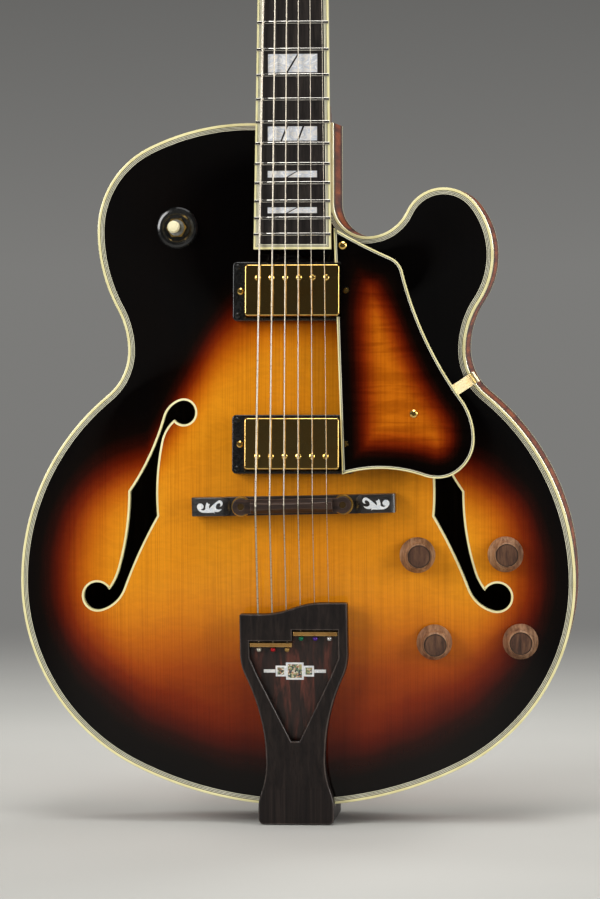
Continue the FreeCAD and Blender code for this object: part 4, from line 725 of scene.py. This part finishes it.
def dark_wood(name, colours, stretch, turn=(0, 0, 0), gloss=(0.3, 0.42), coat=0.0, pore=0.00006, shine=0.3):
    """Close dark hardwood: long streaks of two tones and short open pores along the grain."""
    finish = Finish(name)
    streak = finish.noise(stretch, detail=4, warp=0.6, turn=turn)
    fine = finish.noise(tuple(s * 4 for s in stretch), detail=5, warp=0.2, turn=turn)
    tone = finish.ramp(streak, zip((0.32, 0.5, 0.68), colours))
    pores = finish.ramp(fine, [(0.36, (0.45, 0.42, 0.4)), (0.48, (1, 1, 1))])
    colour = finish.mix("MULTIPLY", 0.7, tone, pores)
    finish.bump(fine, pore, 0.4)
    rough = finish.span(fine, 0.35, 0.6, gloss[1], gloss[0])
    polish = {"Specular_IOR_Level": shine, "Coat_Weight": coat, "Coat_Roughness": 0.12}
    return finish.surface(Base_Color=colour, Roughness=rough, **polish)


board_tones = tones((24, 21, 20), (36, 32, 30), (50, 44, 40))
dress("fretboard", dark_wood("board ebony", board_tones, (420, 420, 14)))
nut_half = 22.5
board_end_half = 28.3
nut_end_z = 862.5
board_end_z = 422.6
board_binding_width = 4.0
binding_plies = [(0.0, cream_tones[0]), (1.5, black_tones[0]), (1.9, white_tones[0])]
binding_plies += [(2.4, black_tones[0]), (2.8, white_tones[0]), (3.5, black_tones[0])]


def lined_celluloid(name):
    """Binding whose outer line is cream, with thin black and white lines towards the board."""
    finish = Finish(name, Roughness=0.28)
    axes = finish.axes()
    across = finish.reckon("ABSOLUTE", axes["X"])
    half = finish.span(axes["Z"], board_end_z * MM, nut_end_z * MM, board_end_half, nut_half)
    side_gap = finish.reckon("MULTIPLY_ADD", across, -1 / MM, half)
    end_gap = finish.reckon("MULTIPLY_ADD", axes["Z"], 1 / MM, -board_end_z)
    gap = finish.reckon("MINIMUM", side_gap, end_gap)
    share = finish.span(gap, 0.0, board_binding_width, 0.0, 1.0)
    bands = finish.ramp(share, [(place / board_binding_width, colour) for place, colour in binding_plies])
    bands.node.color_ramp.interpolation = "CONSTANT"
    cloud = finish.noise((70, 70, 70), detail=4)
    age = finish.ramp(cloud, [(0.3, (0.92, 0.9, 0.84)), (0.7, (1, 1, 1))])
    colour = finish.mix("MULTIPLY", 1.0, bands, age)
    finish.bump(cloud, 0.00002, 0.15)
    return finish.surface(Base_Color=colour, Coat_Weight=0.6, Coat_Roughness=0.06)


dress("fretboard_binding", lined_celluloid("lined binding"))


def pearl(name, cool, warm, scale, shine=0.25):
    """Mother of pearl: folded layers that turn from cool to warm, under polish."""
    finish = Finish(name, Roughness=shine)
    fold = finish.noise((scale, scale, scale * 1.6), detail=3, warp=2.2)
    folds = [cool, warm, cool, paint(250, 248, 244), warm]
    layers = finish.ramp(fold, zip((0.28, 0.42, 0.52, 0.62, 0.74), folds))
    crack = finish.noise((scale * 5, scale * 5, scale * 5), detail=3, warp=1.0)
    depth = finish.ramp(crack, [(0.3, (0.88, 0.88, 0.9)), (0.6, (1, 1, 1))])
    colour = finish.mix("MULTIPLY", 0.6, layers, depth)
    finish.bump(fold, 0.00003, 0.3)
    return finish.surface(Base_Color=colour, Metallic=0.15, Coat_Weight=0.8, Coat_Roughness=0.05)


board_pearl = pearl("board pearl", paint(200, 206, 216), paint(236, 230, 220), 90.0)
dress("fret_inlays", board_pearl)
fret_wire = drawn_steel("fret wire", paint(206, 202, 194), (20, 900, 900), 0.16)
dress("frets", fret_wire)

# Nut, headstock facing and rod cover: a polished bone nut in front of an ebony facing glued to the head,
# with a small black cover screwed over the truss rod's nut.
bone = Finish("polished bone", Roughness=0.35)
bone_cloud = bone.noise((160, 160, 160), detail=5)
bone_tone = bone.ramp(bone_cloud, [(0.3, paint(214, 202, 172)), (0.7, paint(236, 228, 206))])
bone.bump(bone_cloud, 0.00003, 0.2)
dress("nut", bone.surface(Base_Color=bone_tone, Coat_Weight=0.4, Coat_Roughness=0.1, Subsurface_Weight=0.05))
facing_tones = tones((14, 12, 12), (20, 18, 17), (28, 25, 24))
facing_ebony = dark_wood("facing ebony", facing_tones, (300, 300, 10), coat=0.25, pore=0.00001)
dress("headstock_veneer", facing_ebony)


def moulded_black(name, gloss):
    """Black moulded plastic with faint swirl marks from handling."""
    finish = Finish(name)
    swirl = finish.noise((240, 240, 240), detail=4, warp=1.5)
    tone = finish.ramp(swirl, [(0.3, paint(12, 12, 12)), (0.7, paint(22, 22, 22))])
    rough = finish.span(swirl, 0.3, 0.7, gloss * 0.7, gloss * 1.4)
    finish.bump(swirl, 0.00002, 0.25)
    return finish.surface(Base_Color=tone, Roughness=rough, Coat_Weight=0.3, Coat_Roughness=0.08)


ring_black = moulded_black("ring black", 0.24)
dress("truss_rod_cover", ring_black)


# Strings: six steel strings, held by coloured ball ends in the tailpiece's bars and led over the saddle
# and the nut to the tuners; the lower ones are wound with wire over the core.


def skin_of(name):
    """A copy of a solid's skin in the shared frame, free of its old shading and finish."""
    mesh = nodes[name].data.copy()
    mesh.transform(nodes[name].matrix_world)
    mesh.materials.clear()
    if "custom_normal" in mesh.attributes:
        mesh.attributes.remove(mesh.attributes["custom_normal"])
    return mesh


def tone_faces(mesh, choose):
    """Gives each face the number of its finish, chosen from its middle in mm."""
    mesh.polygons.foreach_set("material_index", [choose(*(face.center / MM)) for face in mesh.polygons])
    soften(mesh, 32)


bass_ball_z = 130.3
treble_ball_z = 138.6
ball_reach = 2.0
string_spread = 52.0
wound = drawn_steel("wound string", paint(206, 196, 178), (30, 30, 2400), 0.3)
ball_tones = [(212, 208, 190), (190, 26, 34), (168, 132, 70), (20, 122, 84), (86, 50, 150), (214, 212, 208)]


def ball_finish(number, tone):
    finish = Finish("ball end %d" % number, Metallic=0.55)
    speck = finish.noise((900, 900, 900), detail=2)
    colour = finish.ramp(speck, [(0.3, [0.75 * c for c in paint(*tone)[:3]]), (0.7, paint(*tone))])
    finish.bump(speck, 0.00002, 0.2)
    return finish.surface(Base_Color=colour, Roughness=0.3)


def string_finish(x, y, z):
    middle = bass_ball_z if x < 0 else treble_ball_z
    if abs(z - middle) > ball_reach:
        return 0
    return 1 + min(5, max(0, round((x / string_spread + 0.5) * 5)))


string_mesh = skin_of("strings")
tone_faces(string_mesh, string_finish)
balls = [ball_finish(number + 1, tone) for number, tone in enumerate(ball_tones)]
add_piece("six_strings", string_mesh, "guitar", "steel", [wound] + balls, "strings")


# Tuners: six sealed gold-plated machines, each a cast housing screwed behind the head with a post through
# a bushing and a winged button that turns the post by a worm.


def plated(name, bright, deep, rough, wear=0.5):
    """Gold plate over brass: small changes of tone, fine polishing marks and softer worn places."""
    finish = Finish(name, Metallic=1.0)
    marks = finish.noise((700, 700, 700), detail=3, warp=0.8)
    age = finish.noise((55, 55, 55), detail=4, warp=1.0)
    tone = finish.ramp(age, [(0.3, deep), (0.55, bright), (0.8, bright)])
    patch = finish.span(age, 0.3, 0.7, rough * (1 + wear), rough)
    finish.bump(marks, 0.000015, 0.2)
    return finish.surface(Base_Color=tone, Roughness=patch)


gold = plated("gold plate", paint(236, 196, 112), paint(206, 158, 74), 0.16)
worn_gold = plated("worn gold plate", paint(224, 184, 100), paint(180, 132, 58), 0.26)

for number in range(1, 7):
    dress("tuner_post_%d" % number, gold)
    dress("tuner_button_%d" % number, gold)
dress("tuner_housings", gold)
dress("panel_nuts", gold)

# Tailpiece: a carved ebony plate hung over the end block, its edges rounded by hand, with a V-shaped pocket
# over a striped rosewood panel, a pearl and shell inlay, and two brass bars that hold the ball ends.
tail_round = 1.0
weld_gap = 2e-6


def eased(name, body, slot, width, plain, edge, shortest=0.0, sharp=35):
    """A solid's skin with its sharp edges rounded over; the rounding takes the second finish."""
    mesh = skin_of(name)
    with reworked(mesh) as work:
        bmesh.ops.remove_doubles(work, verts=work.verts, dist=weld_gap)
        bmesh.ops.dissolve_limit(work, angle_limit=math.radians(0.3), verts=work.verts, edges=work.edges)
        limit = math.radians(sharp)
        crisp = [e for e in work.edges if len(e.link_faces) == 2 and e.calc_face_angle_signed() > limit]
        crisp = [e for e in crisp if e.calc_length() > shortest * MM]
        round_off = {"offset": width * MM, "offset_type": "OFFSET", "segments": 3, "profile": 0.5}
        made = bmesh.ops.bevel(work, geom=crisp, affect="EDGES", **round_off)
        for face in made["faces"]:
            face.material_index = 1
        bmesh.ops.triangulate(work, faces=[f for f in work.faces if len(f.verts) > 4])
    soften(mesh, 34)
    piece = add_piece("eased_" + name, mesh, body, slot, [plain, edge], name)
    even = piece.modifiers.new("even shading", "WEIGHTED_NORMAL")
    even.keep_sharp = True
    return piece


tail_tones = tones((19, 14, 13), (27, 21, 19), (38, 30, 27))
tail_ebony = dark_wood("tailpiece ebony", tail_tones, (300, 300, 9), gloss=(0.4, 0.52), shine=0.2)
# The rounded edges take lighter, glossier ebony: partly rubbed wear, partly a painted highlight along each
# edge.
rub_and_highlight_tones = tones((40, 33, 30), (56, 47, 43), (76, 66, 60))
rubbed_and_highlit_ebony = dark_wood("rubbed ebony edge with painted highlight", rub_and_highlight_tones, (300, 300, 9), gloss=(0.24, 0.34), coat=0.4)
tail_piece = eased("tailpiece", "guitar", "ebony", tail_round, tail_ebony, rubbed_and_highlit_ebony)
level_slack = 0.02


def keep_fold(mesh, least, most):
    """Keeps a shallow level fold across a face crisp."""
    with reworked(mesh) as work:
        for edge in work.edges:
            level = abs(edge.verts[0].co.z - edge.verts[1].co.z) < level_slack * MM
            if level and len(edge.link_faces) == 2 and least < edge.calc_face_angle() < most:
                edge.smooth = False


fold_least, fold_most = math.radians(5), math.radians(15)
keep_fold(tail_piece.data, fold_least, fold_most)
stripe_tones = tones((22, 14, 12), (40, 24, 19), (96, 48, 36))
panel_rosewood = dark_wood("panel rosewood", stripe_tones, (170, 170, 3), gloss=(0.34, 0.48), coat=0.15)
dress("tailpiece_panel", panel_rosewood)
tail_pearl = pearl("tailpiece pearl", paint(204, 208, 214), paint(238, 234, 226), 120.0)
frame_width = 1.9
least_square = 40.0


def shell(name):
    """Abalone: small broken flakes of green, blue, amber and near black."""
    finish = Finish(name, Roughness=0.2)
    flakes = finish.put("TexVoronoi", {"Vector": finish.place((900, 900, 900)), "Scale": 1.0})["Color"]
    pick = finish.put("SeparateColor", {"Color": flakes})["Red"]
    flake_tones = tones((30, 34, 30), (92, 116, 88), (158, 150, 96), (214, 208, 190))
    flake_tones += tones((176, 104, 52), (52, 70, 72))
    colour = finish.ramp(pick, zip((0.0, 0.25, 0.45, 0.6, 0.78, 0.92), flake_tones))
    finish.bump(pick, 0.00002, 0.2)
    return finish.surface(Base_Color=colour, Coat_Weight=0.8, Coat_Roughness=0.05)


inlay_mesh = skin_of("tailpiece_inlay")
with reworked(inlay_mesh) as work:
    bmesh.ops.remove_doubles(work, verts=work.verts, dist=weld_gap)
    bmesh.ops.dissolve_limit(work, angle_limit=0.01, verts=work.verts, edges=work.edges)
    squares = [f for f in work.faces if f.normal.y < -0.9 and f.calc_area() > least_square * MM * MM]
    bmesh.ops.inset_individual(work, faces=squares, thickness=frame_width * MM)
    for face in squares:
        face.material_index = 1
inlay_finishes = [tail_pearl, shell("abalone shell")]
add_piece("shell_inlay", inlay_mesh, "guitar", "pearl", inlay_finishes, "tailpiece_inlay")
bar_brass = plated("string bar brass", paint(176, 134, 78), paint(138, 100, 54), 0.38)
# Lighter rounded edges on the bars: partly wear, partly a painted highlight along each edge.
bar_edge_wear_and_highlight = plated("string bar edge, worn and with painted highlight", paint(214, 174, 110), paint(180, 140, 84), 0.3)
eased("string_anchors", "guitar", "gold", 0.5, bar_brass, bar_edge_wear_and_highlight)
dress("strap_buttons", gold)

# Bridge: an ebony base fitted to the arch with pearl scrolls let into its wings, two threaded brass posts,
# knurled thumbwheels and a dark saddle that rides on them.
bridge_tones = tones((26, 24, 23), (38, 35, 34), (52, 48, 46))
bridge_ebony = dark_wood("bridge ebony", bridge_tones, (14, 300, 300), gloss=(0.26, 0.38), coat=0.5)
# Rounded edges in the lighter rubbed tones: partly wear, partly a painted highlight along each edge.
bridge_edge_wear_and_highlight = dark_wood("bridge ebony edge, worn and with painted highlight", rub_and_highlight_tones, (14, 300, 300), gloss=(0.24, 0.34), coat=0.5)
eased("bridge_base", "guitar", "ebony", 0.6, bridge_ebony, bridge_edge_wear_and_highlight, shortest=4.0)
dress("bridge_inlays", pearl("scroll pearl", paint(206, 214, 222), paint(240, 238, 232), 140.0))
dress("bridge_posts", plated("dark post brass", paint(84, 66, 40), paint(58, 44, 28), 0.4))
saddle_tones = tones((30, 20, 16), (48, 33, 26), (66, 47, 37))
saddle_wood = dark_wood("saddle rosewood", saddle_tones, (12, 300, 300), gloss=(0.4, 0.55))
# Lighter rounded edges on the saddle: partly wear, partly a painted highlight along each edge.
saddle_rub_and_highlight = tones((50, 36, 29), (64, 48, 38), (80, 62, 50))
saddle_edge_wear_and_highlight = dark_wood("saddle edge, worn and with painted highlight", saddle_rub_and_highlight, (12, 300, 300))
eased("bridge_saddle", "bridge_saddle", "ebony", 0.5, saddle_wood, saddle_edge_wear_and_highlight)
knurl_sides = 96
knurl_depth = 0.22
knurl_edge = 0.5
hub = 2.46
for name in ("bass_thumbwheel", "treble_thumbwheel"):
    low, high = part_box(name)
    middle = (low + high) / 2
    wheel_radius = (high.x - low.x) / 2 / MM
    half_thick = (high.y - low.y) / 2 / MM
    eased_radius = wheel_radius - knurl_edge
    rings = [(hub, -half_thick), (eased_radius, -half_thick), (wheel_radius, knurl_edge - half_thick)]
    rings += [(wheel_radius, half_thick - knurl_edge), (eased_radius, half_thick), (hub, half_thick)]
    spots = []
    for reach, depth in rings:
        for step in range(knurl_sides):
            cut = knurl_depth if step % 2 and reach == wheel_radius else 0.0
            turn = 2 * math.pi * step / knurl_sides
            arm = Vector(((reach - cut) * math.cos(turn), depth, (reach - cut) * math.sin(turn)))
            spots.append(tuple(middle + arm * MM))
    faces = []
    for ring in range(len(rings)):
        start, after = ring * knurl_sides, (ring + 1) % len(rings) * knurl_sides
        for step in range(knurl_sides):
            beside = (step + 1) % knurl_sides
            faces.append((start + step, start + beside, after + beside, after + step))
    wheel_mesh = new_mesh("knurled_" + name, spots, faces)
    square_up(wheel_mesh, 20)
    add_piece("knurled_" + name, wheel_mesh, name, "gold", [worn_gold], name)

# Pickups: two covered pickups, gold-plated covers with a row of slotted pole screws, each hung by springs
# and screws in a black moulded ring that follows the arch.
ring_edge = moulded_black("ring edge", 0.16)
eased("pickup_rings", "guitar", "black_plastic", 0.5, ring_black, ring_edge)
cover_gold = plated("pickup cover gold", paint(228, 190, 112), paint(204, 160, 86), 0.1)
dress("pickup_covers", cover_gold)
pickup_middles = (393.0, 281.5)
ring_corner = (41.0, 17.8)
corner_reach = 3.5


def screw_finish(x, y, z):
    if abs(abs(x) - ring_corner[0]) > corner_reach:
        return 0
    return int(any(abs(abs(z - middle) - ring_corner[1]) < corner_reach for middle in pickup_middles))


screw_mesh = skin_of("screws")
tone_faces(screw_mesh, screw_finish)
screw_finishes = [gold, moulded_black("blackened screw", 0.3)]
add_piece("plated_screws", screw_mesh, "guitar", "gold", screw_finishes, "screws")
head_radius = 2.4
head_rise = 0.85
slot_half = 0.35
head_depth = 2.42
string_lean = 4.328
string_spot = Vector((0.0, -0.089, bridge_z * MM))
pole_pitch = 10.0
neck_cover, bridge_cover, pole_offset = 157.4, 45.6, 9.1
pole_rows = (neck_cover + pole_offset, bridge_cover - pole_offset)


def slotted_head(radius, rise, half):
    """A domed screw head in mm, on z = 0: two cheeks with a straight slot between, on a thin disc."""
    ball = (radius**2 + rise**2) / (2 * rise)
    disc = 0.3 * rise
    head = bmesh.new()
    for side in (-1, 1):
        cheek = bmesh.new()
        bmesh.ops.create_uvsphere(cheek, u_segments=28, v_segments=40, radius=ball)
        bmesh.ops.translate(cheek, verts=cheek.verts, vec=(0, 0, rise - ball))
        for spot, way in (((0, 0, disc), (0, 0, -1)), ((side * half, 0, 0), (-side, 0, 0))):
            whole = cheek.verts[:] + cheek.edges[:] + cheek.faces[:]
            bmesh.ops.bisect_plane(cheek, geom=whole, plane_co=spot, plane_no=way, clear_outer=True)
            bmesh.ops.holes_fill(cheek, edges=cheek.edges)
        part = bpy.data.meshes.new("cheek")
        cheek.to_mesh(part)
        cheek.free()
        head.from_mesh(part)
        bpy.data.meshes.remove(part)
    size = {"radius1": radius, "radius2": radius, "depth": disc, "matrix": Matrix.Translation((0, 0, disc / 2))}
    bmesh.ops.create_cone(head, cap_ends=True, segments=28, **size)
    mesh = bpy.data.meshes.new("slotted_head")
    head.to_mesh(mesh)
    head.free()
    return mesh


head_mesh = slotted_head(head_radius, head_rise, slot_half)
tilt = Matrix.Rotation(math.radians(-string_lean), 4, "X")
to_strings = Matrix.Translation(string_spot) @ tilt @ Matrix.Scale(MM, 4)
face_out = Matrix.Rotation(math.radians(90), 4, "X")
pole_work = bmesh.new()
for row, along in enumerate(pole_rows):
    for number in range(6):
        spot = Vector(((number - 2.5) * pole_pitch, head_depth, along))
        turn = Matrix.Rotation(math.radians(23 * number + 40 * row), 4, "Z")
        one = head_mesh.copy()
        one.transform(to_strings @ Matrix.Translation(spot) @ face_out @ turn)
        pole_work.from_mesh(one)
        bpy.data.meshes.remove(one)
pole_mesh = bpy.data.meshes.new("pole_screws")
pole_work.to_mesh(pole_mesh)
pole_work.free()
soften(pole_mesh, 30)
add_piece("pole_screws", pole_mesh, "guitar", "gold", [gold])

# Finger rest: a thin plate of sunburst maple with a bound edge, raised off the top beside the strings and
# held by a screw at the neck end and by a gold bracket that bends round to the treble side.
rest_spot = Vector((0.0, -0.0815, bridge_z * MM))
rest_thick = 3.2
rest_border = 2.4
rest_slip = 0.05
rest_top = (29.9, 202.4)
rest_low = (36.6, 22.9)
rest_belly = (106.0, 20.0)
rest_side = (132.8, 48.6)
rest_shoulder = (80.4, 170.2)
notch_x = 35.5
notch_half = 19.8
notch_low = neck_cover - notch_half
notch_high = neck_cover + notch_half
notch_slack = 0.4
rest_run = arc_pair(rest_low, 17, rest_belly, 0, -95.0) + arc_pair(rest_belly, 0, rest_side, 90, 24.92)
rest_run += arc_pair(rest_side, 90, rest_shoulder, 104, 50.0)
rest_run += arc_pair(rest_shoulder, 104, rest_top, 149, 16.0)
string_edge = np.array(rest_low) - np.array(rest_top)


def edge_spot(z):
    return np.array(rest_top) + string_edge * (z - rest_top[1]) / string_edge[1]


rest_run += line(rest_top, edge_spot(notch_high)) + line(edge_spot(notch_high), edge_spot(notch_low))
rest_run += line(edge_spot(notch_low), rest_low)
rest_points, rest_normals = walk(rest_run, 0.9)
core_loop = rest_points + (rest_border + rest_slip) * rest_normals
off_notch = np.abs(core_loop[:, 1] - neck_cover)
core_loop[(core_loop[:, 0] < notch_x) & (off_notch < notch_half + notch_slack), 0] = notch_x
bite = np.array([38.8, bridge_cover])
bite_radius = 2.7
bitten = (np.abs(core_loop[:, 1] - bite[1]) < bite_radius) & (core_loop[:, 0] < bite[0])
core_loop[bitten, 0] = bite[0] + np.sqrt(bite_radius**2 - (core_loop[bitten, 1] - bite[1]) ** 2)
rest_holes = []
for spot, radius in (((38.8, neck_cover), bite_radius), ((36.6, 189.6), 1.4), ((88.6, 67.0), 1.4)):
    rest_holes.append(np.array([on_circle(spot, radius, -angle) for angle in range(0, 360, 20)]))


def rest_front(x, z):
    return 0.0 * x


core_mesh, core_spots = sheet_mesh("finger_rest_plate", core_loop, rest_holes, rest_front, rest_thick, 3.0)
core_gap = gap_to(core_spots, rest_points)
rest_peak = 0.7
rim_lead, rim_fade = 0.5, 36.0
top_end, top_fade = 200.0, 68.0
rim_part = smooth((core_gap + rim_lead) / rim_fade)
shade_points(core_mesh, rest_peak * rim_part * smooth((top_end - core_spots[:, 1]) / top_fade))
to_rest = Matrix.Translation(rest_spot) @ tilt
core_mesh.transform(to_rest)
rest_wood = burst_spruce("finger rest maple", burst_stops, line_scale=0.5, curl=0.5)
add_piece("finger_rest_plate", core_mesh, "guitar", "maple", [rest_wood, rest_wood], "finger_rest")
border_marks = [(0.0, rest_thick, 0), (0.0, 0.3, 0), (0.3, 0.0, 0), (1.1, 0.0, 1), (1.5, 0.0, 2)]
border_marks += [(2.0, 0.0, 1), (rest_border, 0.0, 1), (rest_border, rest_thick, 0)]
first = int(np.argmin(np.linalg.norm(rest_points - edge_spot(notch_low), axis=1)))
last = int(np.argmin(np.linalg.norm(rest_points - edge_spot(notch_high), axis=1)))
order = [i % len(rest_points) for i in range(first, last + len(rest_points) + 1)]
border_profile = [(inset, y) for inset, y, _ in border_marks]
border_bands = [tone for _, _, tone in border_marks]
border_line = (rest_points[order], rest_normals[order])
border = strip_mesh("finger_rest_edge", *border_line, border_profile, border_bands, closed=False)
border.transform(to_rest)
add_piece("finger_rest_edge", border, "guitar", "ivory_binding", plies, "finger_rest_binding")
bracket_gold = plated("bracket gold", paint(252, 230, 176), paint(238, 206, 140), 0.34)
# Paler rounded edges on the bracket: partly wear, partly a painted highlight along each edge.
bracket_edge_wear_and_highlight = plated("bracket edge, worn and with painted highlight", paint(255, 244, 212), paint(246, 224, 170), 0.28)
eased("finger_rest_bracket", "guitar", "gold", 0.2, bracket_gold, bracket_edge_wear_and_highlight)

# Toggle switch: a steel body under the top, held by a gold nut on a black dished washer, with a
# cream-tipped lever that leans up or down.
washer_black = moulded_black("washer black", 0.18)
dress("switch_washer", washer_black)
dress("switch_body", rod_steel)
tip_cream = celluloid("switch tip", paint(244, 236, 196), paint(230, 218, 170))
dress("switch_lever", tip_cream)

# Controls: four turned rosewood knobs pressed on the shafts of the volume and tone controls inside, each
# with a wide pale bevel round a darker disc; the bevel's paleness is partly painted light from above.
disc_edge = 7.7
groove_width = 0.6
disc_floor = 16.4
shaft_edge = 3.2
# The bevel is paler than the disc partly as painted light falling on its sides from above.
bevel_lit_tones = tones((92, 62, 44), (134, 98, 72), (166, 130, 100))
bevel_wood_lit = dark_wood("knob bevel rosewood with painted light", bevel_lit_tones, (240, 60, 40), gloss=(0.4, 0.54), coat=0.1)
disc_tones = tones((56, 36, 26), (80, 53, 38), (100, 70, 50))
disc_wood = dark_wood("knob disc rosewood", disc_tones, (300, 60, 40), gloss=(0.42, 0.56), coat=0.1)
# The shallow groove round each disc is coloured black as painted shade.
groove_painted_shade_black = moulded_black("knob groove as painted shade", 0.5)
knob_turns = {joint["child"]: joint for joint in frame["joints"] if joint["child"].startswith("knob_")}
for number in range(1, 5):
    name = "knob_%d" % number
    knob_spot = Vector(knob_turns[name]["pos_m"]) / MM
    knob_axis = Vector(knob_turns[name]["axis"]).normalized()

    def knob_finish(x, y, z):
        arm = Vector((x, y, z)) - knob_spot
        rise = abs(arm.dot(knob_axis))
        reach = (arm - arm.dot(knob_axis) * knob_axis).length
        if reach < shaft_edge and rise < disc_floor:
            return 3
        if rise > disc_floor and reach < disc_edge:
            return 1
        return 2 if rise > disc_floor and reach < disc_edge + groove_width else 0

    knob_mesh = skin_of(name)
    tone_faces(knob_mesh, knob_finish)
    knob_finishes = [bevel_wood_lit, disc_wood, groove_painted_shade_black, rod_steel]
    add_piece("turned_" + name, knob_mesh, name, "rosewood", knob_finishes, name)
dress("pot_bodies", rod_steel)
dress("output_jack", gold)

# Studio: a wide pale floor that fades into a plain grey room, two large soft lamps in front, two behind,
# one overhead, and a camera at the eye height of the picture, looking a little from the treble side.
floor_gap = 0.0005
floor_z = cad_box[0][2] - floor_gap
floor_radius = 40.0
floor_sides = 96
room_grey = (0.2, 0.198, 0.19)
turns = [2 * math.pi * i / floor_sides for i in range(floor_sides)]
floor_spots = [(floor_radius * math.cos(turn), floor_radius * math.sin(turn), floor_z) for turn in turns]
floor_mesh = new_mesh("studio_floor", floor_spots, [tuple(range(floor_sides))])
paper = Finish("studio paper", Roughness=0.9)
spread = paper.put("VectorMath", {0: paper.put("TexCoord", {})["Object"]}, operation="LENGTH")["Value"]
fade_range = {"Value": spread, "From Min": 0.3, "From Max": 1.8}
fade = paper.put("MapRange", fade_range, interpolation_type="SMOOTHSTEP")["Result"]
cloud = paper.noise((2, 2, 2), detail=2)
paper_tone = paper.ramp(cloud, [(0.3, paint(178, 177, 172)), (0.7, paint(185, 184, 179))])
paper_tone = paper.mix("MIX", fade, paper_tone, (0.0, 0.0, 0.0, 1.0))
paper.surface(Base_Color=paper_tone, Specular_IOR_Level=0.0)
paper.surface(Emission_Color=(*room_grey, 1.0), Emission_Strength=fade)
floor_mesh.materials.append(paper.material)
floor = bpy.data.objects.new("studio_floor", floor_mesh)
bpy.context.scene.collection.objects.link(floor)
lamp_aim = Vector((0.0, 0.0, 0.3))


def soft_lamp(name, place, width, height, power):
    lamp = bpy.data.lights.new(name, "AREA")
    lamp.shape = "RECTANGLE"
    lamp.size = width
    lamp.size_y = height
    lamp.energy = power
    holder = bpy.data.objects.new(name, lamp)
    holder.location = place
    holder.rotation_euler = (lamp_aim - Vector(place)).to_track_quat("-Z", "Y").to_euler()
    holder.visible_camera = False
    bpy.context.scene.collection.objects.link(holder)


soft_lamp("bass_lamp", (-2.0, -1.9, 1.35), 1.2, 1.8, 66.0)
soft_lamp("treble_lamp", (2.3, -1.5, 0.9), 1.0, 1.8, 44.0)
soft_lamp("head_lamp", (0.2, -0.5, 2.7), 1.6, 1.0, 32.0)
soft_lamp("back_lamp", (1.7, 2.1, 1.4), 1.2, 1.8, 60.0)
soft_lamp("back_fill", (-2.3, 1.6, 0.9), 1.0, 1.8, 44.0)

room = bpy.data.worlds.new("studio_room")
bpy.context.scene.world = room
room.use_nodes = True
room_nodes = room.node_tree.nodes
gaze = room_nodes.new("ShaderNodeTexCoord")
height = room_nodes.new("ShaderNodeSeparateXYZ")
shades = room_nodes.new("ShaderNodeValToRGB")
room_levels = [(0.0, 1.0), (0.062, 0.68), (0.1, 0.14), (0.4, 0.16), (0.75, 1.0), (1.0, 1.6)]
while len(shades.color_ramp.elements) < len(room_levels):
    shades.color_ramp.elements.new(1.0)
for element, (place, level) in zip(shades.color_ramp.elements, room_levels):
    element.position = place
    element.color = (*[level * grey for grey in room_grey], 1.0)
room.node_tree.links.new(gaze.outputs["Generated"], height.inputs["Vector"])
room.node_tree.links.new(height.outputs["Z"], shades.inputs["Fac"])
room.node_tree.links.new(shades.outputs["Color"], room_nodes["Background"].inputs["Color"])

camera_distance = 3.2
aim_point = Vector((0.0027, -0.043, 0.27548))
azimuth = math.radians(5.169)
elevation = math.radians(2.403)
roll = math.radians(-0.205)
picture_px = 899
focal_px = 4352.98
sensor = 36.0
level = math.cos(elevation)
away = Vector((math.sin(azimuth) * level, -math.cos(azimuth) * level, math.sin(elevation)))
lens = bpy.data.cameras.new("photo_camera")
lens.sensor_fit = "AUTO"
lens.sensor_width = sensor
lens.lens = focal_px * sensor / picture_px
lens.clip_start = 0.01
camera = bpy.data.objects.new("photo_camera", lens)
camera.location = aim_point + away * camera_distance
facing = (-away).to_track_quat("-Z", "Y").to_matrix()
camera.rotation_euler = (facing @ Matrix.Rotation(roll, 3, "Z")).to_euler()
bpy.context.scene.collection.objects.link(camera)
bpy.context.scene.camera = camera
bpy.context.scene.view_settings.view_transform = "Standard"
